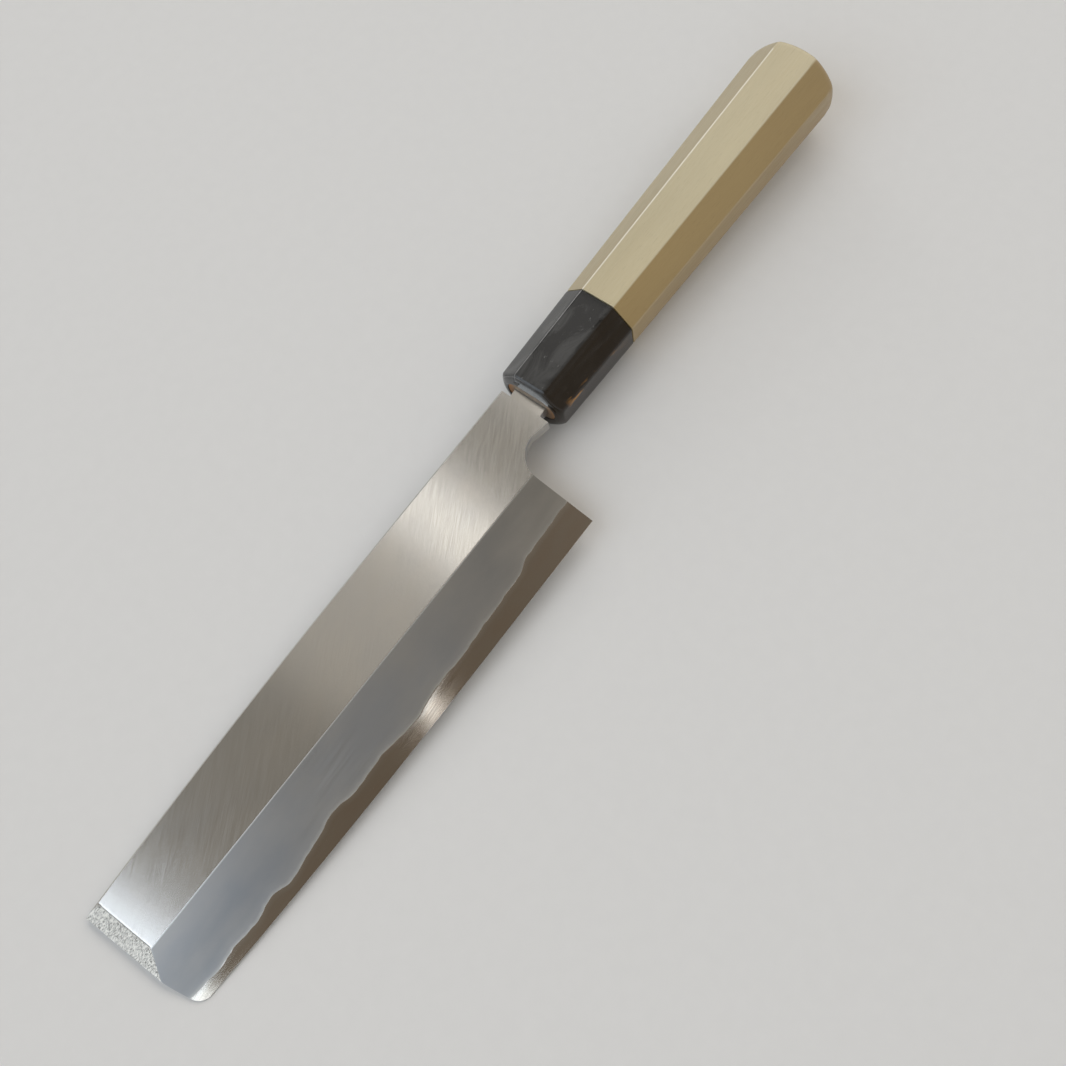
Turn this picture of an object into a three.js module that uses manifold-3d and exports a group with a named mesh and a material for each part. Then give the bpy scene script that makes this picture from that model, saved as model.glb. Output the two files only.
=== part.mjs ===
// A left-handed usuba: a single-bevel vegetable knife with an octagonal wood handle and a horn ferrule.
// Lengths are millimetres. The knife is drawn with x = 0 on the ferrule's front face, +X toward the nose,
// +Y toward the cutting edge and +Z out of the bevelled face, then laid down as it rests on a table.
// The blade is two steels welded face to face: the soft iron body, and a hard steel plate on its back.
import * as THREE from 'three';
import { mergeVertices } from 'three/addons/utils/BufferGeometryUtils.js';
import Module from 'manifold-3d';

const wasm = await Module();
wasm.setup();

// Handle: the octagon grows evenly from the ferrule's mouth to the butt
const FERRULE_LENGTH = 32.5;
const GRIP_LENGTH = 101.6;
const MOUTH_HEIGHT = 21.6;
const MOUTH_THICKNESS = 19.4;
const MOUTH_TOP_FLAT = 10;
const MOUTH_SIDE_FLAT = 7.3;
const BUTT_HEIGHT = 27.8;
const BUTT_THICKNESS = 23.2;
const BUTT_TOP_FLAT = 12.9;
const BUTT_SIDE_FLAT = 8.6;
const RIDGE_EASE = 0.5;
const RIM_ROUND = 1.5;
const BUTT_DOME_DEPTH = 5;
const BUTT_DOME_WIDTH = 6.5;
const BORE_HEIGHT = 16.4;
const BORE_THICKNESS = 9.4;
const GLUE_LINE = 0.3;
const TENON_CLEARANCE = 0.3;

// Filler that closes the slot in the ferrule's mouth
const FILLER_DEPTH = 2.4;
const FILLER_RECESS = 0.2;

// Tang
const TANG_LENGTH = 95;
const TANG_MOUTH_WIDTH = 10.8;
const TANG_END_WIDTH = 6;
const TANG_MOUTH_THICKNESS = 3.4;
const TANG_END_THICKNESS = 2.6;
const TANG_CLEARANCE = 0.3;

// Blade outline
const MACHI_GAP = 2.4;
const MACHI_SLANT = 0.6;
const NECK_LENGTH = 16.3;
const NECK_HEIGHT = 16;
const NECK_FLARE = 1.2;
const THROAT_RADIUS = 9;
const EDGE_LENGTH = 159.8;
const HEEL_HEIGHT = 43.7;
const HEEL_SLANT = 0.6;
const SPINE_OFFSET = 8.6;
const SPINE_STRAIGHT = 50;
const SPINE_DROP = 3;
const EDGE_STRAIGHT = 25;
const EDGE_RISE = 2.9;
const EDGE_CURVE_POWER = 2.5;
const NOSE_SLANT = 0.8;
const TIP_CUT_WIDTH = 11.5;
const TIP_CUT_SETBACK = 2.2;
const TIP_RADIUS = 3;

// Blade section
const HEEL_THICKNESS = 3.8;
const NOSE_THICKNESS = 2.7;
const EDGE_LAND = 0.15;
const SPINE_EASE = 0.6;
const FLAT_HEEL_WIDTH = 23.2;
const FLAT_NOSE_WIDTH = 18.9;
const NOSE_BEVEL_RUN = 4.4;
const NOSE_BEVEL_DROP = 1;
const HOLLOW_DEPTH = 0.3;
const HOLLOW_RIM = 4.5;
const HOLLOW_END_RIM = 9;
const HOLLOW_END_DEPTH = 0.006;
const HOLLOW_END_POWER = 8;

// Weld between the soft iron and the hard steel, which the bevel lays bare as a wavy line.
// Each crest or trough is a distance from the heel and the height of steel above the edge there.
const STEEL_SETBACK = 2;
const WELD_LINE = 0.1;
const WELD_CRESTS = [
  [0, 8.6],
  [18, 8.1],
  [24.5, 6.4],
  [40, 5.8],
  [50, 5.2],
  [60, 5.5],
  [71.5, 4.3],
  [84, 5.5],
  [93.5, 4.9],
  [102.5, 6.1],
  [110, 4.6],
  [121, 3.1],
  [127.5, 4.4],
  [134.5, 3],
  [141, 3.4],
  [148.5, 2.7],
  [159, 3.3],
];

// Fineness of the faceted surfaces
const ROUND_STEPS = 4;
const DOME_SIDES = 48;
const CURVE_STEPS = 12;
const STATION_STEP = 3.2;
const HOLLOW_STEPS = 10;

// Cutting bodies reach this far past the blade
const MARGIN = 20;

// Finishes
const SATIN_IRON = { color: 0x969083, roughness: 0.38, metalness: 1 };
const POLISHED_STEEL = { color: 0x8b8780, roughness: 0.16, metalness: 1 };
const BLACK_HORN = { color: 0x1c1a18, roughness: 0.22, metalness: 0 };
const PALE_WOOD = { color: 0xb9a982, roughness: 0.55, metalness: 0 };
const BROWN_FILLER = { color: 0x7a4d25, roughness: 0.7, metalness: 0 };

// Directions of the knife's own frame
const ALONG = new THREE.Vector3(1, 0, 0);
const ACROSS = new THREE.Vector3(0, 1, 0);
const UP = new THREE.Vector3(0, 0, 1);

// Places worked out from the sizes above
const handleLength = FERRULE_LENGTH + GLUE_LINE + GRIP_LENGTH;
const gripFront = -FERRULE_LENGTH - GLUE_LINE;
const tenonFront = -FILLER_DEPTH - TENON_CLEARANCE;
const backZ = -HEEL_THICKNESS / 2;
const spineY = -SPINE_OFFSET;
const edgeY = spineY + HEEL_HEIGHT;
const neckEdgeY = spineY + NECK_HEIGHT;
const heelX = MACHI_GAP + NECK_LENGTH;
const noseX = heelX + EDGE_LENGTH;
const spineCurveX = heelX + SPINE_STRAIGHT;
const edgeCurveX = heelX + EDGE_STRAIGHT;
const noseSpineY = spineY + SPINE_DROP;
const noseEdgeY = edgeY - EDGE_RISE;
const tipX = noseX - NOSE_SLANT - TIP_CUT_SETBACK;
const tipStart = new THREE.Vector2(noseX - NOSE_SLANT, noseEdgeY - TIP_CUT_WIDTH);
const tipEnd = new THREE.Vector2(tipX, noseEdgeY);
const steelX = heelX - STEEL_SETBACK;

function mix(a, b, t) {
  return a + (b - a) * t;
}

function alongBlade(x) {
  return (x - heelX) / EDGE_LENGTH;
}

function flatZ(x) {
  return backZ + mix(HEEL_THICKNESS, NOSE_THICKNESS, alongBlade(x));
}

function ridgeY(x) {
  const atHeel = spineY + FLAT_HEEL_WIDTH;
  const atNose = noseSpineY + FLAT_NOSE_WIDTH;
  return mix(atHeel, atNose, alongBlade(x));
}

function spineLineY(x) {
  const t = Math.max(0, (x - spineCurveX) / (noseX - spineCurveX));
  return spineY + SPINE_DROP * t * t;
}

function edgeLineY(x) {
  const t = Math.max(0, (x - edgeCurveX) / (noseX - edgeCurveX));
  return edgeY - EDGE_RISE * t ** EDGE_CURVE_POWER;
}

// Height of the hard steel above the edge, measured across the bevel, easing from crest to trough
function steelShow(x) {
  const fromHeel = x - heelX;
  const next = WELD_CRESTS.findIndex(([at]) => at > fromHeel);
  if (next === 0) {
    return WELD_CRESTS[0][1];
  }
  if (next < 0) {
    return WELD_CRESTS[WELD_CRESTS.length - 1][1];
  }
  const [fromAt, fromHeight] = WELD_CRESTS[next - 1];
  const [toAt, toHeight] = WELD_CRESTS[next];
  return mix(fromHeight, toHeight, THREE.MathUtils.smoothstep(fromHeel, fromAt, toAt));
}

function weldZ(x) {
  const bevelWidth = edgeLineY(x) - ridgeY(x);
  const bevelHeight = flatZ(x) - backZ - EDGE_LAND;
  return backZ + EDGE_LAND + (bevelHeight * steelShow(x)) / bevelWidth;
}

function stations(from, to, step) {
  const count = Math.max(1, Math.round((to - from) / step));
  return Array.from({ length: count + 1 }, (_, i) => mix(from, to, i / count));
}

// Closed body through rings of equal point count, in order of growing x, each counter-clockwise seen from +X
function loft(rings) {
  const size = rings[0].length;
  const positions = rings.flat().flatMap((point) => [point.x, point.y, point.z]);
  const index = [];
  for (let i = 0; i < rings.length - 1; i += 1) {
    for (let j = 0; j < size; j += 1) {
      const next = (j + 1) % size;
      const a = i * size + j;
      const b = i * size + next;
      const c = (i + 1) * size + next;
      const d = (i + 1) * size + j;
      index.push(a, b, c, a, c, d);
    }
  }
  const last = (rings.length - 1) * size;
  for (let j = 1; j < size - 1; j += 1) {
    index.push(0, j + 1, j, last, last + j, last + j + 1);
  }
  const geometry = new THREE.BufferGeometry();
  geometry.setAttribute('position', new THREE.Float32BufferAttribute(positions, 3));
  geometry.setIndex(index);
  return geometry;
}

function solidOf(geometry) {
  const bare = geometry.clone();
  bare.deleteAttribute('normal');
  bare.deleteAttribute('uv');
  const merged = mergeVertices(bare);
  const vertProperties = new Float32Array(merged.attributes.position.array);
  const triVerts = new Uint32Array(merged.index.array);
  return new wasm.Manifold(new wasm.Mesh({ numProp: 3, vertProperties, triVerts }));
}

function geometryOf(solid) {
  const mesh = solid.getMesh();
  const geometry = new THREE.BufferGeometry();
  geometry.setAttribute('position', new THREE.Float32BufferAttribute(mesh.vertProperties, 3));
  geometry.setIndex(Array.from(mesh.triVerts));
  geometry.computeVertexNormals();
  return geometry;
}

function rectangle(x, lowY, highY, lowZ, highZ) {
  return [
    new THREE.Vector3(x, lowY, lowZ),
    new THREE.Vector3(x, highY, lowZ),
    new THREE.Vector3(x, highY, highZ),
    new THREE.Vector3(x, lowY, highZ),
  ];
}

// Everything on the outer side of a plane
function beyondPlane(point, normal) {
  const reach = EDGE_LENGTH + HEEL_HEIGHT;
  const box = new THREE.BoxGeometry(reach, reach, MARGIN);
  box.translate(0, 0, MARGIN / 2);
  const turn = new THREE.Quaternion().setFromUnitVectors(UP, normal);
  box.applyQuaternion(turn);
  box.translate(point.x, point.y, point.z);
  return solidOf(box);
}

// Handle octagon at a place along its length, drawn in by an inset, with each ridge eased
function handleRing(x, inset) {
  const t = -x / handleLength;
  const side = mix(MOUTH_HEIGHT, BUTT_HEIGHT, t) / 2;
  const top = mix(MOUTH_THICKNESS, BUTT_THICKNESS, t) / 2;
  const topFlat = mix(MOUTH_TOP_FLAT, BUTT_TOP_FLAT, t) / 2;
  const sideFlat = mix(MOUTH_SIDE_FLAT, BUTT_SIDE_FLAT, t) / 2;
  const slant = new THREE.Vector2(top - sideFlat, side - topFlat).normalize();
  const slantReach = slant.x * side + slant.y * sideFlat - inset;
  const cornerY = (slantReach - slant.y * (top - inset)) / slant.x;
  const cornerZ = (slantReach - slant.x * (side - inset)) / slant.y;
  const corners = [
    [side - inset, -cornerZ],
    [side - inset, cornerZ],
    [cornerY, top - inset],
    [-cornerY, top - inset],
    [-side + inset, cornerZ],
    [-side + inset, -cornerZ],
    [-cornerY, -top + inset],
    [cornerY, -top + inset],
  ].map(([y, z]) => new THREE.Vector3(x, y, z));
  return corners.flatMap((corner, i) => {
    const before = corners[(i + corners.length - 1) % corners.length];
    const after = corners[(i + 1) % corners.length];
    const toBefore = before.clone().sub(corner).setLength(RIDGE_EASE);
    const toAfter = after.clone().sub(corner).setLength(RIDGE_EASE);
    return [corner.clone().add(toBefore), corner.clone().add(toAfter)];
  });
}

// Quarter-round rim at the ferrule's mouth: rings from the full section to the front face
function mouthRim() {
  return Array.from({ length: ROUND_STEPS + 1 }, (_, i) => {
    const angle = ((i / ROUND_STEPS) * Math.PI) / 2;
    return handleRing(-RIM_ROUND * (1 - Math.sin(angle)), RIM_ROUND * (1 - Math.cos(angle)));
  });
}

// Bar with a flat oval section along the handle's axis, drawn in by an inset
function ovalBar(inset, fromX, toX) {
  const radius = BORE_THICKNESS / 2 - inset;
  const straight = (BORE_HEIGHT - BORE_THICKNESS) / 2;
  const oval = new THREE.Shape();
  oval.absarc(straight, 0, radius, -Math.PI / 2, Math.PI / 2, false);
  oval.absarc(-straight, 0, radius, Math.PI / 2, (3 * Math.PI) / 2, false);
  oval.closePath();
  const options = { depth: toX - fromX, bevelEnabled: false, curveSegments: CURVE_STEPS };
  const bar = new THREE.ExtrudeGeometry(oval, options);
  bar.applyMatrix4(new THREE.Matrix4().makeBasis(ACROSS, UP, ALONG));
  bar.translate(fromX, 0, 0);
  return solidOf(bar);
}

// Turned body that rounds the handle's butt: a flat end, then a quarter ellipse out to the ridges
function buttTurning() {
  const reach = Math.hypot(BUTT_HEIGHT, BUTT_SIDE_FLAT) / 2;
  const profile = [new THREE.Vector2(0, -handleLength)];
  for (let i = 0; i <= ROUND_STEPS; i += 1) {
    const angle = ((i / ROUND_STEPS) * Math.PI) / 2;
    const radius = reach - BUTT_DOME_WIDTH * (1 - Math.sin(angle));
    profile.push(new THREE.Vector2(radius, -handleLength + BUTT_DOME_DEPTH * (1 - Math.cos(angle))));
  }
  profile.push(new THREE.Vector2(reach, MARGIN), new THREE.Vector2(0, MARGIN));
  const turned = new THREE.LatheGeometry(profile, DOME_SIDES);
  turned.rotateZ(-Math.PI / 2);
  return solidOf(turned);
}

// Tang shape from its end to a place in front of the ferrule, grown by a clearance all round
function tangBody(frontX, clearance) {
  const endX = -TANG_LENGTH;
  const ring = (x, at) => {
    const t = -at / TANG_LENGTH;
    const width = mix(TANG_MOUTH_WIDTH, TANG_END_WIDTH, t) / 2 + clearance;
    const thickness = mix(TANG_MOUTH_THICKNESS, TANG_END_THICKNESS, t) / 2 + clearance;
    return rectangle(x, -width, width, -thickness, thickness);
  };
  return solidOf(loft([ring(endX - clearance, endX), ring(0, 0), ring(frontX, 0)]));
}

function bladeOutline() {
  const shape = new THREE.Shape();
  const throatY = neckEdgeY + THROAT_RADIUS;
  const heelTopX = heelX - HEEL_SLANT;
  const tipAlong = tipStart.clone().sub(tipEnd).normalize();
  shape.moveTo(MACHI_GAP, spineY);
  shape.lineTo(MACHI_GAP + MACHI_SLANT, neckEdgeY + NECK_FLARE);
  shape.lineTo(heelTopX - THROAT_RADIUS, neckEdgeY);
  shape.absarc(heelTopX - THROAT_RADIUS, throatY, THROAT_RADIUS, -Math.PI / 2, 0, false);
  shape.lineTo(heelX, edgeY);
  for (const x of stations(edgeCurveX, tipX - TIP_RADIUS, STATION_STEP)) {
    shape.lineTo(x, edgeLineY(x));
  }
  const tipTurn = tipEnd.clone().addScaledVector(tipAlong, TIP_RADIUS);
  shape.quadraticCurveTo(tipEnd.x, tipEnd.y, tipTurn.x, tipTurn.y);
  shape.lineTo(tipStart.x, tipStart.y);
  shape.lineTo(noseX, noseSpineY);
  shape.quadraticCurveTo((spineCurveX + noseX) / 2, spineY, spineCurveX, spineY);
  shape.closePath();
  return shape;
}

// Body above the bevel, from the ridge line down to the edge
function bevelCut() {
  const top = backZ + HEEL_THICKNESS + MARGIN;
  const rings = stations(0, noseX + MARGIN, STATION_STEP).map((x) => {
    const edge = edgeLineY(x);
    const ridge = ridgeY(x);
    const low = backZ + EDGE_LAND;
    return [
      new THREE.Vector3(x, edge, low),
      new THREE.Vector3(x, edgeY + MARGIN, low),
      new THREE.Vector3(x, edgeY + MARGIN, top),
      new THREE.Vector3(x, ridge, top),
      new THREE.Vector3(x, ridge, flatZ(x)),
    ];
  });
  return solidOf(loft(rings));
}

// Body above the flat, which thins toward the nose
function flatCut() {
  const low = spineY - MARGIN;
  const high = edgeY + MARGIN;
  const top = backZ + HEEL_THICKNESS + MARGIN;
  const ring = (x) => rectangle(x, low, high, flatZ(x), top);
  return solidOf(loft([ring(-MARGIN), ring(noseX + MARGIN)]));
}

// Strip that eases the corner between the flat and the spine
function spineCut() {
  const rings = stations(-MARGIN, noseX + MARGIN, STATION_STEP).map((x) => {
    const spine = spineLineY(x);
    const flat = flatZ(x);
    return [
      new THREE.Vector3(x, spine - MARGIN, flat - SPINE_EASE - MARGIN),
      new THREE.Vector3(x, spine + SPINE_EASE + MARGIN, flat + MARGIN),
      new THREE.Vector3(x, spine - MARGIN, flat + MARGIN),
    ];
  });
  return solidOf(loft(rings));
}

// Sloping face ground along the nose, above a short upright wall
function noseCut() {
  const along = new THREE.Vector2(tipStart.x - noseX, tipStart.y - noseSpineY).normalize();
  const outward = new THREE.Vector2(along.y, -along.x).multiplyScalar(NOSE_BEVEL_DROP);
  const normal = new THREE.Vector3(outward.x, outward.y, NOSE_BEVEL_RUN).normalize();
  const wallTop = backZ + NOSE_THICKNESS - NOSE_BEVEL_DROP;
  return beyondPlane(new THREE.Vector3(noseX, noseSpineY, wallTop), normal);
}

// Shallow hollow ground into the back, fading out toward the heel and the nose
function backHollow() {
  const startX = heelX + HOLLOW_END_RIM;
  const endX = noseX - NOSE_BEVEL_RUN - HOLLOW_END_RIM;
  const rings = stations(startX, endX, STATION_STEP).map((x) => {
    const t = (2 * (x - startX)) / (endX - startX) - 1;
    const fade = Math.max(HOLLOW_END_DEPTH / HOLLOW_DEPTH, 1 - t ** HOLLOW_END_POWER);
    const low = spineLineY(x) + HOLLOW_RIM;
    const high = edgeLineY(x) - HOLLOW_RIM;
    const middle = (low + high) / 2;
    const half = ((high - low) / 2) * Math.sqrt(fade);
    const arc = Array.from({ length: HOLLOW_STEPS + 1 }, (_, i) => {
      const across = 1 - (2 * i) / HOLLOW_STEPS;
      const depth = HOLLOW_DEPTH * fade * (1 - across * across);
      return new THREE.Vector3(x, middle + across * half, backZ + depth);
    });
    const under = backZ - HOLLOW_DEPTH;
    return [
      new THREE.Vector3(x, middle - half, under),
      new THREE.Vector3(x, middle + half, under),
      ...arc,
    ];
  });
  return solidOf(loft(rings));
}

// Everything behind the weld, shifted up or down by half the weld line
function behindWeld(shift, fromX) {
  const rings = stations(fromX, noseX + MARGIN, STATION_STEP).map((x) => {
    const under = backZ - MARGIN;
    return rectangle(x, spineY - MARGIN, edgeY + MARGIN, under, weldZ(x) + shift);
  });
  return solidOf(loft(rings));
}

function bladeBlank() {
  const blank = new THREE.ExtrudeGeometry(bladeOutline(), {
    depth: HEEL_THICKNESS + MARGIN,
    bevelEnabled: false,
    curveSegments: CURVE_STEPS,
  });
  blank.translate(0, 0, backZ);
  return solidOf(blank)
    .subtract(flatCut())
    .subtract(bevelCut())
    .subtract(spineCut())
    .subtract(noseCut())
    .subtract(backHollow());
}

function softIronBody(blank) {
  const tang = tangBody(MACHI_GAP + NECK_LENGTH / 2, 0);
  return blank.subtract(behindWeld(WELD_LINE / 2, steelX)).add(tang);
}

function hardSteelEdge(blank) {
  return blank.intersect(behindWeld(-WELD_LINE / 2, steelX + WELD_LINE));
}

function hornFerrule() {
  const rings = [handleRing(-FERRULE_LENGTH, 0), ...mouthRim()];
  const bore = ovalBar(0, -FERRULE_LENGTH - MARGIN, MARGIN);
  return solidOf(loft(rings)).subtract(bore);
}

function woodGrip() {
  const octagon = solidOf(loft([handleRing(-handleLength, 0), handleRing(gripFront, 0)]));
  const tenon = ovalBar(TENON_CLEARANCE, gripFront - MARGIN, tenonFront);
  const slot = tangBody(MARGIN, TANG_CLEARANCE);
  return octagon.intersect(buttTurning()).add(tenon).subtract(slot);
}

function mouthFiller() {
  const plug = ovalBar(TENON_CLEARANCE, -FILLER_DEPTH, -FILLER_RECESS);
  return plug.subtract(tangBody(MARGIN, TANG_CLEARANCE));
}

function piece(name, solid, finish) {
  const material = new THREE.MeshStandardMaterial({ ...finish, flatShading: true });
  const mesh = new THREE.Mesh(geometryOf(solid), material);
  mesh.name = name;
  return mesh;
}

const blank = bladeBlank();
const knife = new THREE.Group();
knife.add(
  piece('soft_iron_body', softIronBody(blank), SATIN_IRON),
  piece('hard_steel_edge', hardSteelEdge(blank), POLISHED_STEEL),
  piece('horn_ferrule', hornFerrule(), BLACK_HORN),
  piece('wood_grip', woodGrip(), PALE_WOOD),
  piece('mouth_filler', mouthFiller(), BROWN_FILLER),
);

// The blade outweighs the handle, so the knife lies on the ferrule's rim and on the foot of its nose
const rimThickness = mix(MOUTH_THICKNESS, BUTT_THICKNESS, RIM_ROUND / handleLength);
const rimFoot = new THREE.Vector2(-RIM_ROUND, -rimThickness / 2);
const noseFoot = new THREE.Vector2(noseX, backZ);
knife.rotation.y = Math.atan2(noseFoot.y - rimFoot.y, noseFoot.x - rimFoot.x);

const part = new THREE.Group();
part.add(knife);
part.updateMatrixWorld(true);
const reach = new THREE.Box3().setFromObject(knife, true);
const middle = reach.getCenter(new THREE.Vector3());
knife.position.set(-middle.x, -middle.y, -reach.min.z);
part.updateMatrixWorld(true);

export default part;
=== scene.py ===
import math

import bmesh
import bpy
from bpy.props import FloatProperty, FloatVectorProperty, PointerProperty
from mathutils import Matrix, Vector


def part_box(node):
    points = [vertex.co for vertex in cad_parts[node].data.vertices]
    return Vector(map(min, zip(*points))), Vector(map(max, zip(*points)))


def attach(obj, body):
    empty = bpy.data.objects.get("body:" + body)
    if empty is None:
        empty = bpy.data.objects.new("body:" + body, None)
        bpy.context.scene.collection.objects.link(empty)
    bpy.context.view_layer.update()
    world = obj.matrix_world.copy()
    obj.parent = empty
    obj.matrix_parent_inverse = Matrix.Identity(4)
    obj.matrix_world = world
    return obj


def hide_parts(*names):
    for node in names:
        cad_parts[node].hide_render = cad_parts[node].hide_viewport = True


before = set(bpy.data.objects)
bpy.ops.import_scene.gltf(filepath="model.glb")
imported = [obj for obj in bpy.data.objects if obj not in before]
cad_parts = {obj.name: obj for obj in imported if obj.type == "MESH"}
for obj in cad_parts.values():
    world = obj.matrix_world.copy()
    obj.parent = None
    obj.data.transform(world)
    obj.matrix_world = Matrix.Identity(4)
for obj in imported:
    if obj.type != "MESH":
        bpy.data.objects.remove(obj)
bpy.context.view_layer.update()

bl_info = {
    "name": "Usuba knife",
    "version": (1, 0, 0),
    "blender": (4, 5, 0),
    "location": "3D View > Sidebar > Usuba",
    "description": "Finishes the blade, edge, ferrule, grip and filler of a left-handed usuba",
    "category": "Object",
}

BODY = "root"
MM = 0.001

# Blade sizes that the panel doesn't offer, in metres
EDGE_LAND = 0.15 * MM
SPINE_EASE = 0.6 * MM
SPINE_STRAIGHT = 50 * MM
SPINE_DROP = 3 * MM
EDGE_STRAIGHT = 25 * MM
EDGE_RISE = 2.9 * MM
EDGE_CURVE_POWER = 2.5
HEEL_SLANT = 0.6 * MM
MACHI_SLANT = 0.6 * MM
NECK_FLARE = 1.2 * MM
THROAT_RADIUS = 9 * MM
NOSE_SLANT = 0.8 * MM
NOSE_BEVEL_RUN = 4.4 * MM
NOSE_BEVEL_DROP = 1 * MM
TIP_CUT_WIDTH = 11.5 * MM
TIP_CUT_SETBACK = 2.2 * MM
TIP_CUT_POWER = 1.25
TIP_RADIUS = 3 * MM
HOLLOW_DEPTH = 0.3 * MM
HOLLOW_RIM = 4.5 * MM
HOLLOW_END_RIM = 9 * MM
HOLLOW_END_POWER = 8
STEEL_SETBACK = 2 * MM
WELD_LINE = 0.1 * MM

# How softly neighbouring faces of the blade run into each other
RIDGE_SOFT = 0.012 * MM
NOSE_SOFT = 0.1 * MM
HIP_SOFT = 0.02 * MM

# Weld line on the bevel, in millimetres: distance from the heel, and height of steel above the edge
WELD_CRESTS = (
    (0, 8.6), (18, 8.1), (24.5, 6.4), (40, 5.8), (50, 5.2), (60, 5.5), (71.5, 4.3), (84, 5.5), (93.5, 4.9),
    (102.5, 6.1), (110, 4.6), (121, 3.1), (127.5, 4.4), (134.5, 3), (141, 3.4), (148.5, 2.7), (159, 3.3),
)

# Small ripples of that line: pitch, depth and phase
WELD_RIPPLES = ((5.3 * MM, 0.05 * MM, 0.4), (3.1 * MM, 0.03 * MM, 2.1), (8.7 * MM, 0.06 * MM, 4.0))

# Rows of the blade mesh, as shares of the bevel, the flat, the weld side, the steel strip and the hollow
BEVEL_TOP_ROWS = (1, 0.985, 0.96, 0.92, 0.86, 0.78, 0.7, 0.62, 0.56)
BEVEL_ROWS = (*BEVEL_TOP_ROWS, *(0.05 * i for i in range(10, 0, -1)), 0.02)
FLAT_ROWS = (0, 0.01, 0.04, 0.12, 0.25, 0.42, 0.6, 0.78, 0.92, 1)
HIDDEN_ROWS = (0, 0.4, 0.76, 0.85, 0.93, 1)
STRIP_ROWS = (0.05, 0.15, 0.35, 0.6, 0.8, 0.9, 0.95, 0.98, 0.995, 1)
HOLLOW_ROWS = (-1, -0.9, -0.7, -0.45, -0.15, 0.15, 0.45, 0.7, 0.9, 1)

# Places along the rows: the step to near the nose face, then shares of the way up to it and across it
STATION_STEP = 0.7 * MM
NOSE_NEAR = 3 * MM
NEAR_SHARES = (0.25, 0.5, 0.68, 0.8, 0.88, 0.94, 0.98, 1)
FACE_SHARES = (0.02, 0.06, 0.12, 0.2, 0.3, 0.4, 0.5, 0.6, 0.7, 0.8, 0.9, 0.96, 1)
OUTLINE_TRIES = 8
NOSE_FACE_TRIES = 40
THROAT_STEPS = 12

# Share of the length after which the back's rows slide over to those of the weld side
BACK_STRAIGHT = 0.8

# Share of the edge's land that is left on the keen edge
EDGE_KEEN = 0.2

# Points closer than the first become one point, and the second keeps a division off zero
MERGE = 0.002 * MM
TINY = 1e-9

# Handle sizes that the panel doesn't offer, in metres
RIDGE_EASE = 0.5 * MM
RIM_ROUND = 1.5 * MM
BUTT_DOME_DEPTH = 5 * MM
BUTT_DOME_WIDTH = 6.5 * MM
BUTT_CROWN = 0.35 * MM
DOME_SOFT = 1.5 * MM
DOME_LEAD = 3 * MM
DOME_LEAD_PLACES = (2.4 * MM, 1.8 * MM, 1.2 * MM, 0.6 * MM)
BORE_HEIGHT = 16.4 * MM
BORE_THICKNESS = 9.4 * MM
GLUE_LINE = 0.3 * MM
SEAM_EASE = 0.12 * MM
TENON_CLEARANCE = 0.3 * MM
FILLER_DEPTH = 2.4 * MM
FILLER_RECESS = 0.2 * MM
FILLER_SAG = 0.12 * MM
TANG_CLEARANCE = 0.3 * MM
FILLER_FIT = 0.05 * MM
RIM_LINE = 0.04 * MM
TANG_SLOPE = 0.36 * MM
MOUTH_TURN_DEPTH = 3.2 * MM
MOUTH_TURN_OUTER = 11.6 * MM
MOUTH_TURN_INNER = 8.7 * MM
MOUTH_SOFT = 0.25 * MM

# Share of the way that the tang's face rises to the neck's flat in the mouth
TANG_LIFT = 0.98

# Points across a facet of the handle, as shares, all points from one ridge to the next, and its crest
FACET_SHARES = (0.1, 0.3, 0.5, 0.7, 0.9)
RIDGE_POINTS = 3 + len(FACET_SHARES)
CREST_POINT = 1

# Sections along the ferrule, its mouth and its rim, and along the grip, its dome and its crown
FERRULE_STEPS = 6
MOUTH_STEPS = 10
RIM_STEPS = 12
GRIP_STEPS = 12
DOME_STEPS = 18
CROWN_SHARES = (0.85, 0.65, 0.4, 0.15)

# Angles above which an edge stays sharp
SHARP_IRON = math.radians(38)
SHARP_STEEL = math.radians(26)
SHARP_HANDLE = math.radians(50)

# Upright part of a normal above which a face of the blade is no wall
FACES_UP = 0.3

# Values that most of a noise lies between
NOISE_RANGE = (0.3, 0.7)

# Turn of the grinding streaks on the flat, of the stone lines on the bevel and strip, and of the grain
STREAK_TURN = math.radians(30)
BEVEL_LINE_TURN = math.radians(2)
STRIP_LINE_TURN = math.radians(4)
GRAIN_TURN = math.radians(1.2)

# Where each change of colour starts and ends along the blade, in the part's frame: the painted shade by the
# heel, which also fades the pale weld line and the painted ridge highlight, and the darker low bevel by the
# nose
HEEL_FADE_REACH = (-5 * MM, 60 * MM)
LOW_BEVEL_REACH = (95 * MM, 140 * MM)

# The same across the handle, with the lean of its ridges for each metre along it; the sides bound the grip's
# painted shade, the ferrule's painted brown shade with its amber, and the painted highlight on the ridges
HANDLE_TAPER = 0.011
HORN_EDGE_SIDE = (-6.1 * MM, -5.6 * MM)
WOOD_EDGE_SHADE_SIDE = (-5.95 * MM, -5.5 * MM)
WOOD_SPINE_SHADE_SIDE = (-15.3 * MM, -15.75 * MM)
# Painted highlight on the ridges: full on the spine side of this range, faint beyond it
HIGHLIGHT_SIDE = (-14 * MM, -10 * MM)
AMBER_HEIGHT = (10 * MM, 16 * MM)
AMBER_REACH = (-44 * MM, -24 * MM)
AMBER_SHIFT = (0.135, 0, 0)
FILLER_REACH = (-19 * MM, -2 * MM)

# Floor, in metres
FLOOR_RADIUS = 6
FLOOR_POINTS = 96

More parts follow.
